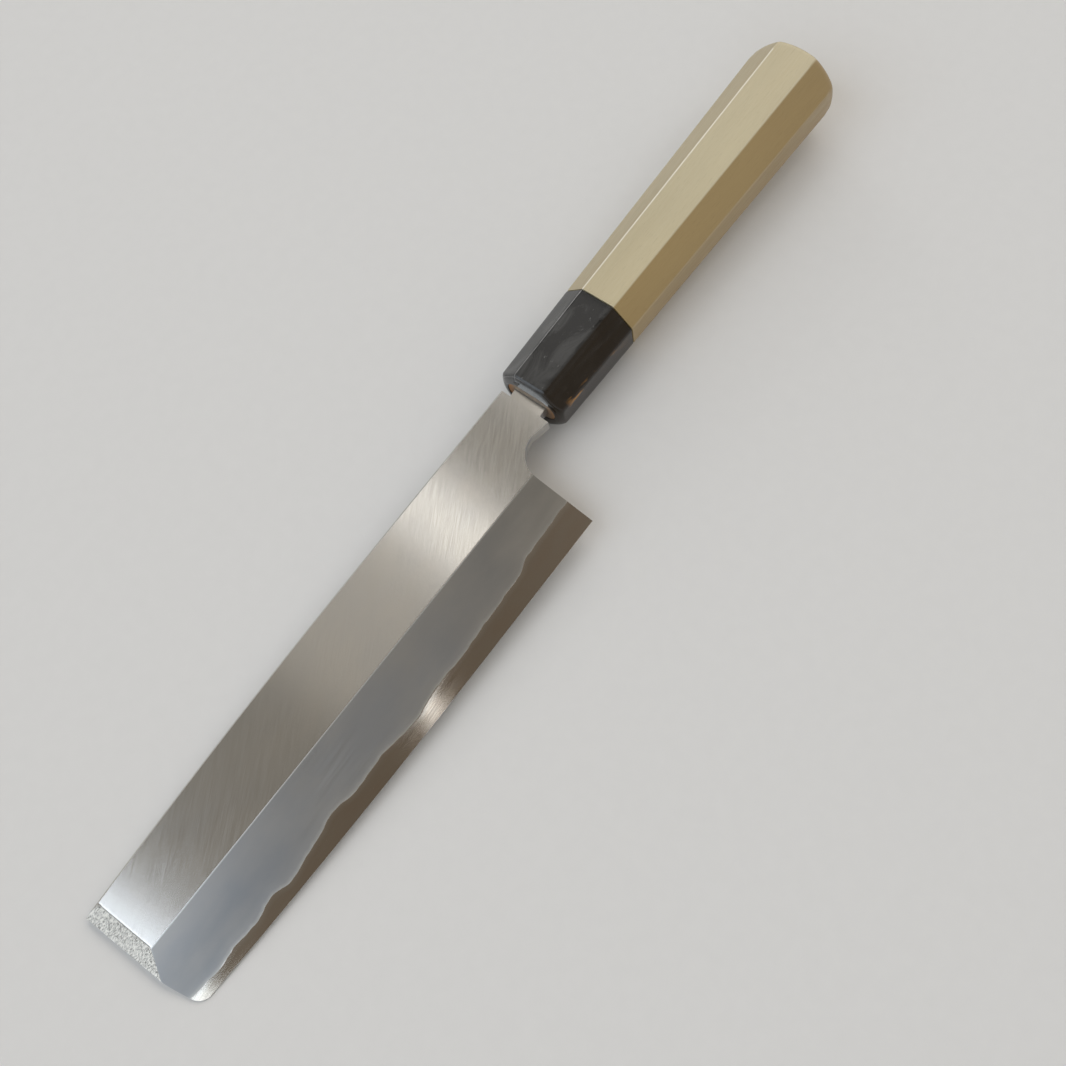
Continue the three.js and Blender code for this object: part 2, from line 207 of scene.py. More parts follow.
# Camera, fitted to the photograph's perspective on a square frame
PHOTO_PIXELS = 1066
FOCAL_PIXELS = 1344.1
SENSOR_WIDTH = 36.0
CAMERA_PLACE = Vector((104.43, 130.6, 337.07)) * MM
CAMERA_LOOK = Vector((-0.26321, -0.32287, -0.90911))
CAMERA_UP = Vector((-0.74894, -0.52561, 0.40351))
CAMERA_CLIP = 0.01


def length(name, description, millimetres):
    """Property for a length, shown in the scene's units"""
    size = millimetres * MM
    return FloatProperty(name=name, description=description, default=size, unit="LENGTH", precision=5)


def colour(name, description, value):
    """Property for a linear colour"""
    return FloatVectorProperty(
        name=name, description=description, default=value, subtype="COLOR", min=0, max=1
    )


class UsubaBladeSizes(bpy.types.PropertyGroup):
    """Sizes of the blade and its tang"""

    edge_length: length("Edge length", "Cutting edge from heel to nose", 159.8)
    heel_height: length("Heel height", "Blade from spine to edge at the heel", 43.7)
    spine_offset: length("Spine offset", "Spine above the handle's axis", 8.6)
    heel_thickness: length("Heel thickness", "Blade thickness at the heel", 3.8)
    nose_thickness: length("Nose thickness", "Blade thickness before the nose", 2.7)
    flat_heel_width: length("Flat at heel", "Flat from spine to ridge line at the heel", 23.2)
    flat_nose_width: length("Flat at nose", "Flat from spine to ridge line at the nose", 18.9)
    machi_gap: length("Machi gap", "Bare tang between ferrule and shoulders", 2.4)
    neck_length: length("Neck length", "From the shoulders to the heel", 16.3)
    neck_height: length("Neck height", "Neck from spine to throat", 16)
    tang_length: length("Tang length", "Tang inside the handle", 95)
    tang_mouth_width: length("Tang width", "Tang width at the ferrule's mouth", 10.8)
    tang_end_width: length("Tang end width", "Tang width at its end", 6)
    tang_mouth_thickness: length("Tang thickness", "Tang thickness at the ferrule's mouth", 3.4)
    tang_end_thickness: length("Tang end thickness", "Tang thickness at its end", 2.6)


class UsubaHandleSizes(bpy.types.PropertyGroup):
    """Sizes of the octagonal handle"""

    ferrule_length: length("Ferrule length", "Horn ferrule along the handle", 32.5)
    grip_length: length("Grip length", "Wood grip along the handle", 101.6)
    mouth_height: length("Mouth height", "Octagon across its side flats at the mouth", 21.6)
    mouth_thickness: length("Mouth thickness", "Octagon across its top flats at the mouth", 19.4)
    mouth_top_flat: length("Mouth top flat", "Width of the top flat at the mouth", 10)
    mouth_side_flat: length("Mouth side flat", "Width of the side flat at the mouth", 7.3)
    butt_height: length("Butt height", "Octagon across its side flats at the butt", 27.8)
    butt_thickness: length("Butt thickness", "Octagon across its top flats at the butt", 23.2)
    butt_top_flat: length("Butt top flat", "Width of the top flat at the butt", 12.9)
    butt_side_flat: length("Butt side flat", "Width of the side flat at the butt", 8.6)


class UsubaColours(bpy.types.PropertyGroup):
    """Colours of the finishes, of the painted shade and highlights, and of the stage"""

    satin_iron: colour("Satin iron", "Flat of the blade", (0.60, 0.575, 0.53))
    hazy_iron: colour("Hazy iron", "Bevel above the weld line", (0.465, 0.475, 0.49))
    # Painted shade: the bevel darker and warmer by the heel
    painted_heel_shade: colour("Warm haze", "Bevel above the weld line, by the heel", (0.365, 0.355, 0.335))
    darker_low_bevel: colour("Deep haze", "Bevel low down by the nose", (0.35, 0.37, 0.40))
    # Painted highlight: a bright line along the blade's ridge
    painted_ridge_highlight: colour("Bright ridge", "Line along the ridge of the blade", (0.96, 0.96, 0.95))
    weld_pale: colour("Pale weld", "Thin line where the two steels meet", (0.78, 0.77, 0.74))
    polished_steel: colour("Polished steel", "Steel strip along the edge", (0.585, 0.505, 0.43))
    scratched_iron: colour("Scratched nose", "Sloping face of the nose", (0.70, 0.665, 0.60))
    horn_black: colour("Black horn", "Ground of the ferrule", (0.008, 0.0075, 0.007))
    horn_grey: colour("Grey horn", "Clouds and flecks in the ferrule", (0.07, 0.0685, 0.066))
    horn_fleck: colour("Horn flecks", "Pale flecks in the ferrule", (0.15, 0.147, 0.142))
    # Painted shade: warm brown over the ferrule's edge-side facets
    horn_edge_shade: colour("Brown horn", "Ground of the ferrule on the edge side", (0.014, 0.008, 0.003))
    horn_amber: colour("Amber horn", "Clear patches of the ferrule", (0.34, 0.16, 0.035))
    # Painted highlight, partly wear: pale lines on the ferrule's ridges and round its rim
    horn_wear_and_highlight: colour("Worn horn", "Rubbed ridges of the ferrule", (0.30, 0.29, 0.28))
    wood_pale: colour("Pale wood", "Early wood of the grip", (0.59, 0.515, 0.34))
    wood_dark: colour("Dark wood", "Late wood of the grip", (0.53, 0.44, 0.265))
    # Painted shade: the grip's edge-side facets darker and warmer
    wood_edge_shade: colour("Wood tone", "Tone of the grip on its edge side", (0.63, 0.52, 0.35))
    # Painted shade: the grip's spine-side facets darker
    wood_spine_shade: colour("Wood shade", "Tone of the grip on its spine side", (0.745, 0.705, 0.635))
    # Painted highlight, partly wear: pale lines on the grip's ridges, strongest on the spine side
    wood_wear_and_highlight: colour("Worn wood", "Burnished ridges of the grip", (0.90, 0.86, 0.75))
    filler_brown: colour("Brown filler", "Filler in the ferrule's mouth", (0.21, 0.165, 0.12))
    filler_orange: colour("Orange filler", "Ends of the filler", (0.36, 0.16, 0.05))
    floor: colour("Floor", "Plain pale floor", (0.74, 0.73, 0.715))


def mix(a, b, share):
    """The value that lies a share of the way from a to b"""
    return a + (b - a) * share


def soft_min(a, b, softness):
    """The lower of two heights, rounded where they come closer than the softness"""
    overlap = max(softness - abs(a - b), 0) / softness
    return min(a, b) - overlap * overlap * softness / 4


def ease(share):
    """A share that starts and ends slowly"""
    return share * share * (3 - 2 * share)


class BladeForm:
    """Surfaces of the blade in the knife's frame: x from the ferrule's front, y toward the edge"""

    def __init__(self, size):
        self.size = size
        self.heel = size.machi_gap + size.neck_length
        self.nose = self.heel + size.edge_length
        self.back = -size.heel_thickness / 2
        self.foot = self.back + EDGE_LAND
        self.spine_start = -size.spine_offset
        self.edge_start = self.spine_start + size.heel_height
        self.neck_edge = self.spine_start + size.neck_height
        self.nose_spine = self.spine_start + SPINE_DROP
        self.nose_edge = self.edge_start - EDGE_RISE
        self.tip_start = self.nose_edge - TIP_CUT_WIDTH
        self.round_top = self.edge(self.nose - NOSE_SLANT - TIP_CUT_SETBACK - TIP_RADIUS)
        self.steel_start = self.heel - STEEL_SETBACK
        self.heel_top = self.heel - HEEL_SLANT
        self.throat_bend = self.heel_top - THROAT_RADIUS
        rise = THROAT_RADIUS - (self.ridge(self.heel) - self.neck_edge)
        self.ridge_start = self.throat_bend + math.sqrt(THROAT_RADIUS**2 - rise**2)

    def along(self, x):
        """Share of the way from heel to nose"""
        return (x - self.heel) / self.size.edge_length

    def flat(self, x):
        """Height of the flat above the bevel"""
        return self.back + mix(self.size.heel_thickness, self.size.nose_thickness, self.along(x))

    def spine(self, x):
        """The spine's y, straight at first and then curving toward the edge"""
        start = self.heel + SPINE_STRAIGHT
        share = max(0, (x - start) / (self.nose - start))
        return self.spine_start + SPINE_DROP * share * share

    def edge(self, x):
        """The edge's y, straight at first and then curving toward the spine"""
        start = self.heel + EDGE_STRAIGHT
        share = max(0, (x - start) / (self.nose - start))
        return self.edge_start - EDGE_RISE * share**EDGE_CURVE_POWER

    def ridge(self, x):
        """The y of the line between flat and bevel"""
        at_heel = self.spine_start + self.size.flat_heel_width
        at_nose = self.nose_spine + self.size.flat_nose_width
        return mix(at_heel, at_nose, self.along(x))

    def steel_show(self, x):
        """Height of hard steel above the edge, measured across the bevel"""
        at = min(max((x - self.heel) / MM, WELD_CRESTS[0][0]), WELD_CRESTS[-1][0])
        height = WELD_CRESTS[-1][1]
        for (start, low), (end, high) in zip(WELD_CRESTS, WELD_CRESTS[1:]):
            if start <= at <= end:
                height = mix(low, high, ease((at - start) / (end - start)))
                break
        ripple = sum(depth * math.sin(math.tau * x / pitch + phase) for pitch, depth, phase in WELD_RIPPLES)
        return height * MM + ripple

    def weld_side(self, x):
        """The y of the weld line on the bevel"""
        return self.edge(x) - self.steel_show(x)

    def weld(self, x):
        """Height of the weld, from where it comes out on the bevel"""
        ridge, edge = self.ridge(x), self.edge(x)
        return self.foot + (self.flat(x) - self.foot) * self.steel_show(x) / (edge - ridge)

    def nose_line(self, y):
        """The x of the nose's wall, before its tip is cut"""
        share = (y - self.nose_spine) / (self.tip_start - self.nose_spine)
        return self.nose - NOSE_SLANT * share

    def nose_slope(self, x, y):
        """Height of the sloping face above the nose's short upright wall"""
        wall_top = self.back + self.size.nose_thickness - NOSE_BEVEL_DROP
        return wall_top + NOSE_BEVEL_DROP / NOSE_BEVEL_RUN * (self.nose_line(y) - x)

    def bevel(self, x, y):
        """Height of the bevel"""
        ridge = self.ridge(x)
        return mix(self.flat(x), self.foot, (y - ridge) / (self.edge(x) - ridge))

    def outline_nose(self, y):
        """Nose of the outline, with its rounded tip"""
        share = max(0, (y - self.tip_start) / TIP_CUT_WIDTH)
        x = self.nose_line(min(y, self.tip_start)) - TIP_CUT_SETBACK * share**TIP_CUT_POWER
        into_round = max(0, y - (self.round_top - TIP_RADIUS))
        return x - TIP_RADIUS + math.sqrt(max(0, TIP_RADIUS**2 - into_round**2))

    def ground(self, x, y):
        """Height of the flat, the bevel and the eased spine, before the nose is cut"""
        flat = self.flat(x)
        height = soft_min(flat, self.bevel(x, y), RIDGE_SOFT)
        return min(height, flat - SPINE_EASE + y - self.spine(x))

    def top(self, x, y):
        """Height of the upper surface"""
        softness = NOSE_SOFT if y < self.ridge(x) else HIP_SOFT
        return max(soft_min(self.ground(x, y), self.nose_slope(x, y), softness), self.foot)

    def on_nose(self, x, y):
        """True on the sloping face of the nose"""
        return self.nose_slope(x, y) < self.ground(x, y)

    def throat(self, x):
        """Edge side of the neck, round the throat"""
        start = self.size.machi_gap + MACHI_SLANT
        if x < self.throat_bend:
            return self.neck_edge + NECK_FLARE * (self.throat_bend - x) / (self.throat_bend - start)
        run = min(x - self.throat_bend, THROAT_RADIUS)
        return self.neck_edge + THROAT_RADIUS - math.sqrt(THROAT_RADIUS**2 - run**2)

    def heel_line(self, y):
        """The heel's x for a place across the bevel"""
        top = self.neck_edge + THROAT_RADIUS
        if y < top:
            return self.throat_bend + math.sqrt(THROAT_RADIUS**2 - (top - y) ** 2)
        return mix(self.heel_top, self.heel, (y - top) / (self.edge_start - top))

    def hollow(self, x, y):
        """Depth of the hollow ground into the back"""
        start = self.heel + HOLLOW_END_RIM
        end = self.nose - NOSE_BEVEL_RUN - HOLLOW_END_RIM
        fade = max(0, 1 - (2 * (x - start) / (end - start) - 1) ** HOLLOW_END_POWER)
        low, high = self.spine(x) + HOLLOW_RIM, self.edge(x) - HOLLOW_RIM
        across = (2 * y - low - high) / (high - low)
        return HOLLOW_DEPTH * fade * max(0, 1 - across * across)


def knife_place(blade, handle):
    """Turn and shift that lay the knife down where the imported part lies"""
    rim = mix(handle.mouth_thickness, handle.butt_thickness, RIM_ROUND / handle_length(handle)) / 2
    tilt = math.atan2(blade.back + rim, blade.nose + RIM_ROUND)
    turn = Matrix.Rotation(tilt, 4, "Y")
    low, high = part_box("hard_steel_edge")
    foot = turn @ Vector((blade.nose, blade.edge_start, blade.back))
    nose = turn @ Vector((blade.nose, 0, blade.weld(blade.nose) - WELD_LINE / 2))
    return Matrix.Translation((high.x - nose.x, high.y - foot.y, low.z - foot.z)) @ turn


def handle_length(handle):
    """Ferrule, glue line and grip together"""
    return handle.ferrule_length + GLUE_LINE + handle.grip_length


def settle(body, loop):
    """Moves the selected loop of points, each to its own place"""
    mesh = bmesh.from_edit_mesh(body.data)
    mark = mesh.verts.layers.int["place"]
    for vert in mesh.verts:
        if vert.select:
            vert.co = loop[vert[mark]]
    bmesh.update_edit_mesh(body.data)


def loft(name, loops, ring=False):
    """Extrudes a circle through loops of as many points, and closes a ring on its first loop"""
    bpy.ops.object.select_all(action="DESELECT")
    fill = "NOTHING" if ring else "NGON"
    count = len(loops[0])
    bpy.ops.mesh.primitive_circle_add(vertices=count, radius=MM, fill_type=fill, enter_editmode=True)
    body = bpy.context.object
    body.name = name
    body.data.name = name
    mesh = bmesh.from_edit_mesh(body.data)
    mark = mesh.verts.layers.int.new("place")
    for i, vert in enumerate(mesh.verts):
        vert[mark] = i
    settle(body, loops[0])
    for loop in loops[1:] + loops[:1] * ring:
        bpy.ops.mesh.extrude_region_move()
        settle(body, loop)
    bpy.ops.mesh.select_all(action="SELECT")
    bpy.ops.mesh.remove_doubles(threshold=MERGE)
    bpy.ops.mesh.dissolve_degenerate(threshold=MERGE)
    bpy.ops.mesh.normals_make_consistent(inside=False)
    bpy.ops.object.mode_set(mode="OBJECT")
    return body


def finish_piece(body, place, node, sharp_angle):
    """Lays a piece down, smooths it up to an angle and hands it to the frame in place of its node"""
    body.matrix_world = place
    bpy.ops.object.select_all(action="DESELECT")
    body.select_set(True)
    bpy.context.view_layer.objects.active = body
    bpy.ops.object.transform_apply(location=True, rotation=True, scale=True)
    bpy.ops.object.shade_smooth_by_angle(angle=sharp_angle)
    bpy.ops.object.modifier_add(type="WEIGHTED_NORMAL")
    body.modifiers[-1].keep_sharp = True
    bpy.ops.object.modifier_apply(modifier=body.modifiers[-1].name)
    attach(body, BODY)
    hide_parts(node)


def wear(body, finishes, choose):
    """Puts finishes on a piece, each face taking the one that choose names for its middle"""
    names = list(finishes)
    for name in names:
        body.data.materials.append(finishes[name])
    for face in body.data.polygons:
        face.material_index = names.index(choose(face.center, face.normal))


def mark_wear_and_highlight(body, butt, rim):
    """Notes the points that carry painted highlight and wear: crests of the ridges before the butt, and a
    line round the rim
    """
    wear_and_highlight = body.data.attributes.new("wear_and_highlight", "FLOAT", "POINT")
    places = body.data.attributes["place"].data
    for vert in body.data.vertices:
        on_crest = places[vert.index].value % RIDGE_POINTS == CREST_POINT and vert.co.x > butt
        wear_and_highlight.data[vert.index].value = on_crest or abs(vert.co.x - rim) < RIM_LINE


def map_blade(body, blade):
    """Lays a UV map along the blade, and notes each point's distance from the weld and ridge lines"""
    layer = body.data.uv_layers.new(name="blade")
    for corner in body.data.loops:
        point = body.data.vertices[corner.vertex_index].co
        layer.data[corner.index].uv = (point.x / blade.size.edge_length, point.y / blade.size.edge_length)
    above = body.data.attributes.new("above_weld", "FLOAT", "POINT")
    below = body.data.attributes.new("below_ridge", "FLOAT", "POINT")
    for vert in body.data.vertices:
        above.data[vert.index].value = (blade.weld_side(vert.co.x) - vert.co.y) / MM
        below.data[vert.index].value = (vert.co.y - blade.ridge(vert.co.x)) / MM


class Nodes:
    """Short ways to add nodes to a tree"""

    def __init__(self, tree):
        self.tree = tree

    def add(self, kind, **values):
        """New node, each value going to the input of that name, or else to the setting"""
        made = self.tree.nodes.new("ShaderNode" + kind)
        for key, value in values.items():
            socket = made.inputs.get(key.title())
            if socket is None:
                setattr(made, key, value)
            else:
                self.feed(socket, value)
        return made

    def feed(self, socket, value):
        if isinstance(value, bpy.types.NodeSocket):
            self.tree.links.new(value, socket)
        else:
            socket.default_value = value

    def own(self):
        """X, Y and Z of the object coordinates"""
        return self.add("SeparateXYZ", vector=self.add("TexCoord").outputs["Object"]).outputs

    def note(self, name):
        """A value that is noted on the mesh's points"""
        return self.add("Attribute", attribute_name=name).outputs["Fac"]

    def place(self, scale, turn=0.0, shift=(0, 0, 0)):
        """Object coordinates, turned about Z and stretched by a scale along each axis"""
        own = self.add("TexCoord").outputs["Object"]
        turned = self.add("Mapping", vector=own, rotation=(0, 0, -turn), location=shift)
        return self.add("Mapping", vector=turned.outputs["Vector"], scale=scale).outputs["Vector"]

    def noise(self, vector, scale=1.0, detail=2.0, roughness=0.5, distortion=0.0):
        made = self.add("TexNoise", vector=vector, scale=scale, detail=detail)
        made.inputs["Roughness"].default_value = roughness
        made.inputs["Distortion"].default_value = distortion
        return made.outputs["Fac"]

    def ramp(self, value, *stops):
        """Colour ramp through stops of place and colour or grey"""
        made = self.add("ValToRGB", fac=value)
        band = made.color_ramp
        while len(band.elements) < len(stops):
            band.elements.new(1)
        for element, (at, shade) in zip(band.elements, stops):
            element.position = at
            element.color = (*shade, 1) if hasattr(shade, "__len__") else (shade, shade, shade, 1)
        return made.outputs["Color"]

    def blend(self, share, low, high, way="MIX"):
        made = self.add("Mix", data_type="RGBA", blend_type=way)
        self.feed(made.inputs["Factor"], share)
        for socket, value in ((made.inputs[6], low), (made.inputs[7], high)):
            self.feed(socket, value if isinstance(value, bpy.types.NodeSocket) else (*value, 1))
        return made.outputs[2]

    def maths(self, way, first, second=0.0):
        made = self.add("Math", operation=way)
        self.feed(made.inputs[0], first)
        self.feed(made.inputs[1], second)
        return made.outputs[0]

    def sum(self, first, second):
        return self.maths("ADD", first, second)

    def times(self, first, second):
        return self.maths("MULTIPLY", first, second)

    def span(self, value, from_low, from_high, to_low, to_high):
        """A value's range carried over to another range"""
        made = self.add("MapRange", value=value)
        for key, number in zip((1, 2, 3, 4), (from_low, from_high, to_low, to_high)):
            made.inputs[key].default_value = number
        return made.outputs[0]

    def lobe(self, way, direction, inner, outer, light):
        """Soft round light about a direction, full inside one angle and gone outside another"""
        near = self.add("VectorMath", operation="DOT_PRODUCT")
        self.feed(near.inputs[0], way)
        near.inputs[1].default_value = Vector(direction).normalized()
        share = self.span(near.outputs["Value"], math.cos(outer), math.cos(inner), 0, 1)
        return self.blend(share, (0, 0, 0), light)


class Shading(Nodes):
    """A new material with its shader"""

    def __init__(self, name):
        self.material = bpy.data.materials.new(name)
        self.material.use_nodes = True
        self.shader = self.material.node_tree.nodes["Principled BSDF"]
        super().__init__(self.material.node_tree)

    def set(self, **values):
        """Feeds the shader's own sockets"""
        for key, value in values.items():
            self.feed(self.shader.inputs[key.replace("_", " ").title()], value)

    def bump(self, height, depth, strength=1.0):
        made = self.add("Bump", height=height, distance=depth, strength=strength)
        self.set(normal=made.outputs["Normal"])


def satin_iron(colours):
    """Flat of the blade: ground in fine slanting streaks, with faint clouds"""
    look = Shading("satin_iron")
    streaks = look.noise(look.place((110, 5200, 300), STREAK_TURN), detail=3)
    clouds = look.noise(look.place((55, 90, 90)), detail=3)
    tint = look.blend(look.span(clouds, *NOISE_RANGE, 0, 0.25), colours.satin_iron, colours.hazy_iron)
    look.set(base_color=tint, metallic=1.0)
    look.set(roughness=look.span(streaks, *NOISE_RANGE, 0.115, 0.18))
    look.bump(streaks, 0.005 * MM, 0.5)
    return look.material


def ground_iron(colours):
    """Spine, throat, heel and nose walls: ground coarser than the faces"""
    look = Shading("ground_iron")
    lines = look.noise(look.place((900, 900, 5000)), detail=3)
    clouds = look.noise(look.place((200, 200, 500)), detail=3)
    tint = look.blend(look.span(clouds, *NOISE_RANGE, 0, 1), colours.satin_iron, colours.hazy_iron)
    look.set(base_color=tint, metallic=1.0)
    look.set(roughness=look.span(lines, *NOISE_RANGE, 0.34, 0.42))
    look.bump(lines, 0.004 * MM, 0.6)
    return look.material


def hazy_iron(colours):
    """Bevel above the weld: soft stone haze, paler along the weld line, with painted shade by the heel and a
    painted highlight along the ridge
    """
    look = Shading("hazy_iron")
    above = look.note("above_weld")
    clouds = look.noise(look.place((60, 110, 110)), detail=4)
    streaks = look.noise(look.place((60, 3600, 300), BEVEL_LINE_TURN), detail=3)
    waver = look.span(look.noise(look.place((700, 700, 700))), *NOISE_RANGE, -0.12, 0.12)
    wander = look.sum(above, waver)
    pale = look.ramp(look.span(wander, 0, 3, 0, 1), (0, 0.85), (0.12, 0.5), (0.33, 0.14), (1, 0))
    own = look.own()
    along = look.span(own["X"], *HEEL_FADE_REACH, 0, 1)
    below = look.note("below_ridge")
    low = look.times(look.span(own["X"], *LOW_BEVEL_REACH, 0, 1), look.span(below, 2, 9, 0, 1))
    # painted shade: darker and warmer toward the heel; also darker low on the bevel by the nose
    haze = look.blend(along, colours.painted_heel_shade, look.blend(low, colours.hazy_iron, colours.darker_low_bevel))
    ground = look.blend(look.span(clouds, *NOISE_RANGE, 0, 0.4), haze, colours.satin_iron)
    pale = look.times(pale, look.span(along, 0, 1, 0.35, 1))
    ground = look.blend(pale, ground, colours.weld_pale)
    # painted highlight: a bright line along the ridge, stronger toward the nose
    line = look.times(look.span(below, 0.12, 0.4, 1, 0), look.span(along, 0, 1, 0.3, 1))
    look.set(base_color=look.blend(line, ground, colours.painted_ridge_highlight), metallic=1.0)
    look.set(roughness=look.span(streaks, *NOISE_RANGE, 0.285, 0.335))
    look.bump(look.sum(clouds, streaks), 0.002 * MM, 0.4)
    return look.material


def polished_steel(colours):
    """Hard steel by the edge: near mirror with fine stone lines"""
    look = Shading("polished_steel")
    lines = look.noise(look.place((50, 2600, 300), STRIP_LINE_TURN), detail=3)
    clouds = look.noise(look.place((120, 300, 300)), detail=3)
    tint = look.blend(look.span(clouds, 0.35, 0.7, 0, 0.3), colours.polished_steel, colours.satin_iron)
    above = look.note("above_weld")
    tint = look.blend(look.span(above, -1.6, 0, 0, 0.4), tint, colours.weld_pale)
    look.set(base_color=tint, metallic=1.0)
    look.set(roughness=look.span(lines, *NOISE_RANGE, 0.06, 0.11))
    look.bump(lines, 0.006 * MM, 0.5)
    return look.material


def scratched_iron(colours):
    """Nose face: short coarse scratches down its slope"""
    look = Shading("scratched_iron")
    scratches = look.noise(look.place((1400, 6000, 2000)), detail=4, roughness=0.7)
    specks = look.noise(look.place((2600, 6400, 2600)), detail=3)
    dark = [0.16 * c for c in colours.scratched_iron]
    look.set(base_color=look.blend(look.span(scratches, 0.47, 0.6, 0, 1), colours.scratched_iron, dark))
    look.set(metallic=1.0, roughness=look.span(specks, *NOISE_RANGE, 0.29, 0.45))
    look.bump(look.sum(scratches, specks), 0.04 * MM, 0.9)
    return look.material


def black_horn(colours):
    """Polished horn: black and clouded grey, with painted warm brown shade on the edge side, clear amber
    patches low on that side, and a painted highlight, partly wear, on the ridges and rim
    """
    look = Shading("black_horn")
    own = look.own()
    clouds = look.noise(look.place((60, 130, 130)), detail=5, roughness=0.6, distortion=1.2)
    flecks = look.noise(look.place((500, 900, 900)), detail=4, roughness=0.7)
    threads = look.noise(look.place((25, 700, 700)), detail=3)
    marble = look.ramp(clouds, (0.45, 0.0), (0.62, 0.7), (0.75, 0.2))
    fleck = look.ramp(flecks, (0.64, 0.0), (0.76, 0.8))
    grey = look.blend(marble, colours.horn_black, colours.horn_grey)
    grey = look.blend(fleck, grey, colours.horn_fleck)
    taper = look.times(own["X"], HANDLE_TAPER)
    edge_side = look.span(look.sum(own["Y"], taper), *HORN_EDGE_SIDE, 0, 1)
    brown_shade_mask = look.times(edge_side, look.span(threads, 0.35, 0.7, 0.75, 1))
    # painted shade: the edge-side facets turn warm brown
    brown = look.blend(brown_shade_mask, grey, colours.horn_edge_shade)
    height = look.span(own["Z"], *AMBER_HEIGHT, 0, 1)
    along_ridge = look.ramp(height, (0.1, 0), (0.4, 1), (0.66, 1), (0.8, 0))
    reach = look.span(own["X"], *AMBER_REACH, 0, 1)
    near_mouth = look.ramp(reach, (0.2, 0.3), (0.5, 1), (0.82, 1), (0.95, 0))
    spots = look.noise(look.place((150, 420, 420), shift=AMBER_SHIFT), detail=3)
    clear = look.times(look.ramp(spots, (0.54, 0), (0.62, 0.9)), look.times(along_ridge, near_mouth))
    clear = look.times(clear, edge_side)
    amber = look.blend(clear, brown, colours.horn_amber)
    # painted highlight, partly wear: pale crests and rim line, strongest on the spine side
    crest = look.note("wear_and_highlight")
    crest = look.times(crest, look.span(own["Y"], *HIGHLIGHT_SIDE, 1, 0.25))
    rubbed_and_lit = look.times(look.span(crest, 0.35, 1, 0, 0.8), look.span(flecks, 0.35, 0.65, 0.4, 1))
    look.set(base_color=look.blend(rubbed_and_lit, amber, colours.horn_wear_and_highlight))
    look.set(roughness=look.span(clouds, *NOISE_RANGE, 0.07, 0.16))
    look.bump(look.sum(clouds, look.sum(flecks, threads)), 0.03 * MM, 0.3)
    return look.material


def grained_wood(colours):
    """Smooth ho wood: soft growth bands, fine fibres and short pores along the handle, with painted shade on
    its edge and spine sides and a painted highlight, partly wear, on its ridges
    """
    look = Shading("grained_wood")
    bands = look.add("TexWave", vector=look.place((0.35, 10, 7), GRAIN_TURN), scale=9.0, distortion=2.2)
    bands.inputs["Detail"].default_value = 3
    bands.inputs["Detail Scale"].default_value = 1.2
    fibres = look.noise(look.place((45, 2600, 2600)), detail=3)
    pores = look.noise(look.place((160, 5200, 5200)), detail=2)
    clouds = look.noise(look.place((14, 60, 60)), detail=3)
    banded = look.span(bands.outputs["Fac"], 0, 1, 0, 0.3)
    grain = look.sum(banded, look.span(fibres, *NOISE_RANGE, 0.1, 0.4))
    wood = look.blend(grain, colours.wood_pale, colours.wood_dark)
    crest = look.note("wear_and_highlight")
    own = look.own()
    taper = look.times(own["X"], HANDLE_TAPER)
    # painted shade: edge-side facets darker and warmer, spine-side facets darker
    edge_side = look.span(look.sum(own["Y"], taper), *WOOD_EDGE_SHADE_SIDE, 0, 1)
    tone = look.ramp(edge_side, (0, 1.0), (1, colours.wood_edge_shade))
    spine_side = look.span(look.maths("SUBTRACT", own["Y"], taper), *WOOD_SPINE_SHADE_SIDE, 0, 1)
    shade = look.ramp(spine_side, (0, 1.0), (1, colours.wood_spine_shade))
    wood = look.blend(1.0, look.blend(1.0, wood, tone, "MULTIPLY"), shade, "MULTIPLY")
    # painted highlight, partly wear: pale crests, strongest on the spine side
    rubbed_and_lit = look.times(look.span(crest, 0.3, 1, 0, 0.8), look.span(own["Y"], *HIGHLIGHT_SIDE, 1, 0.2))
    ground = look.blend(rubbed_and_lit, wood, colours.wood_wear_and_highlight)
    cloudy = look.span(clouds, *NOISE_RANGE, 0.94, 1.05)
    shade = look.times(cloudy, look.ramp(pores, (0.30, 0.9), (0.4, 1.0)))
    look.set(base_color=look.blend(1.0, ground, shade, "MULTIPLY"))
    dull = look.times(look.span(fibres, *NOISE_RANGE, 0.36, 0.5), look.span(crest, 0.3, 1, 1, 0.5))
    look.set(roughness=dull, coat_weight=0.4, coat_roughness=0.15)
    look.bump(look.sum(fibres, pores), 0.02 * MM, 0.35)
    return look.material


def lumpy_filler(colours):
    """Filler in the mouth: uneven brown, rough"""
    look = Shading("lumpy_filler")
    lumps = look.noise(look.place((500, 700, 700)), detail=4)
    own = look.own()
    dark = [0.6 * c for c in colours.filler_brown]
    pale = [1.5 * c for c in colours.filler_brown]
    dull = look.ramp(lumps, (0.3, dark), (0.7, pale))
    across = look.span(own["Y"], *FILLER_REACH, 0, 1)
    ends = look.ramp(across, (0.06, 0.9), (0.17, 0), (0.8, 0), (0.92, 0.6))
    look.set(base_color=look.blend(ends, dull, colours.filler_orange))
    look.set(roughness=look.span(lumps, *NOISE_RANGE, 0.5, 0.75))
    look.bump(lumps, 0.12 * MM, 0.7)
    return look.material


def stations(blade):
    """Places along a row: one unit to near the nose face, one up to it and one across it"""
    steps = round((blade.nose - blade.heel) / STATION_STEP)
    up_to_nose = [i / steps for i in range(steps + 1)]
    return up_to_nose + [1 + s for s in NEAR_SHARES] + [2 + s for s in FACE_SHARES]


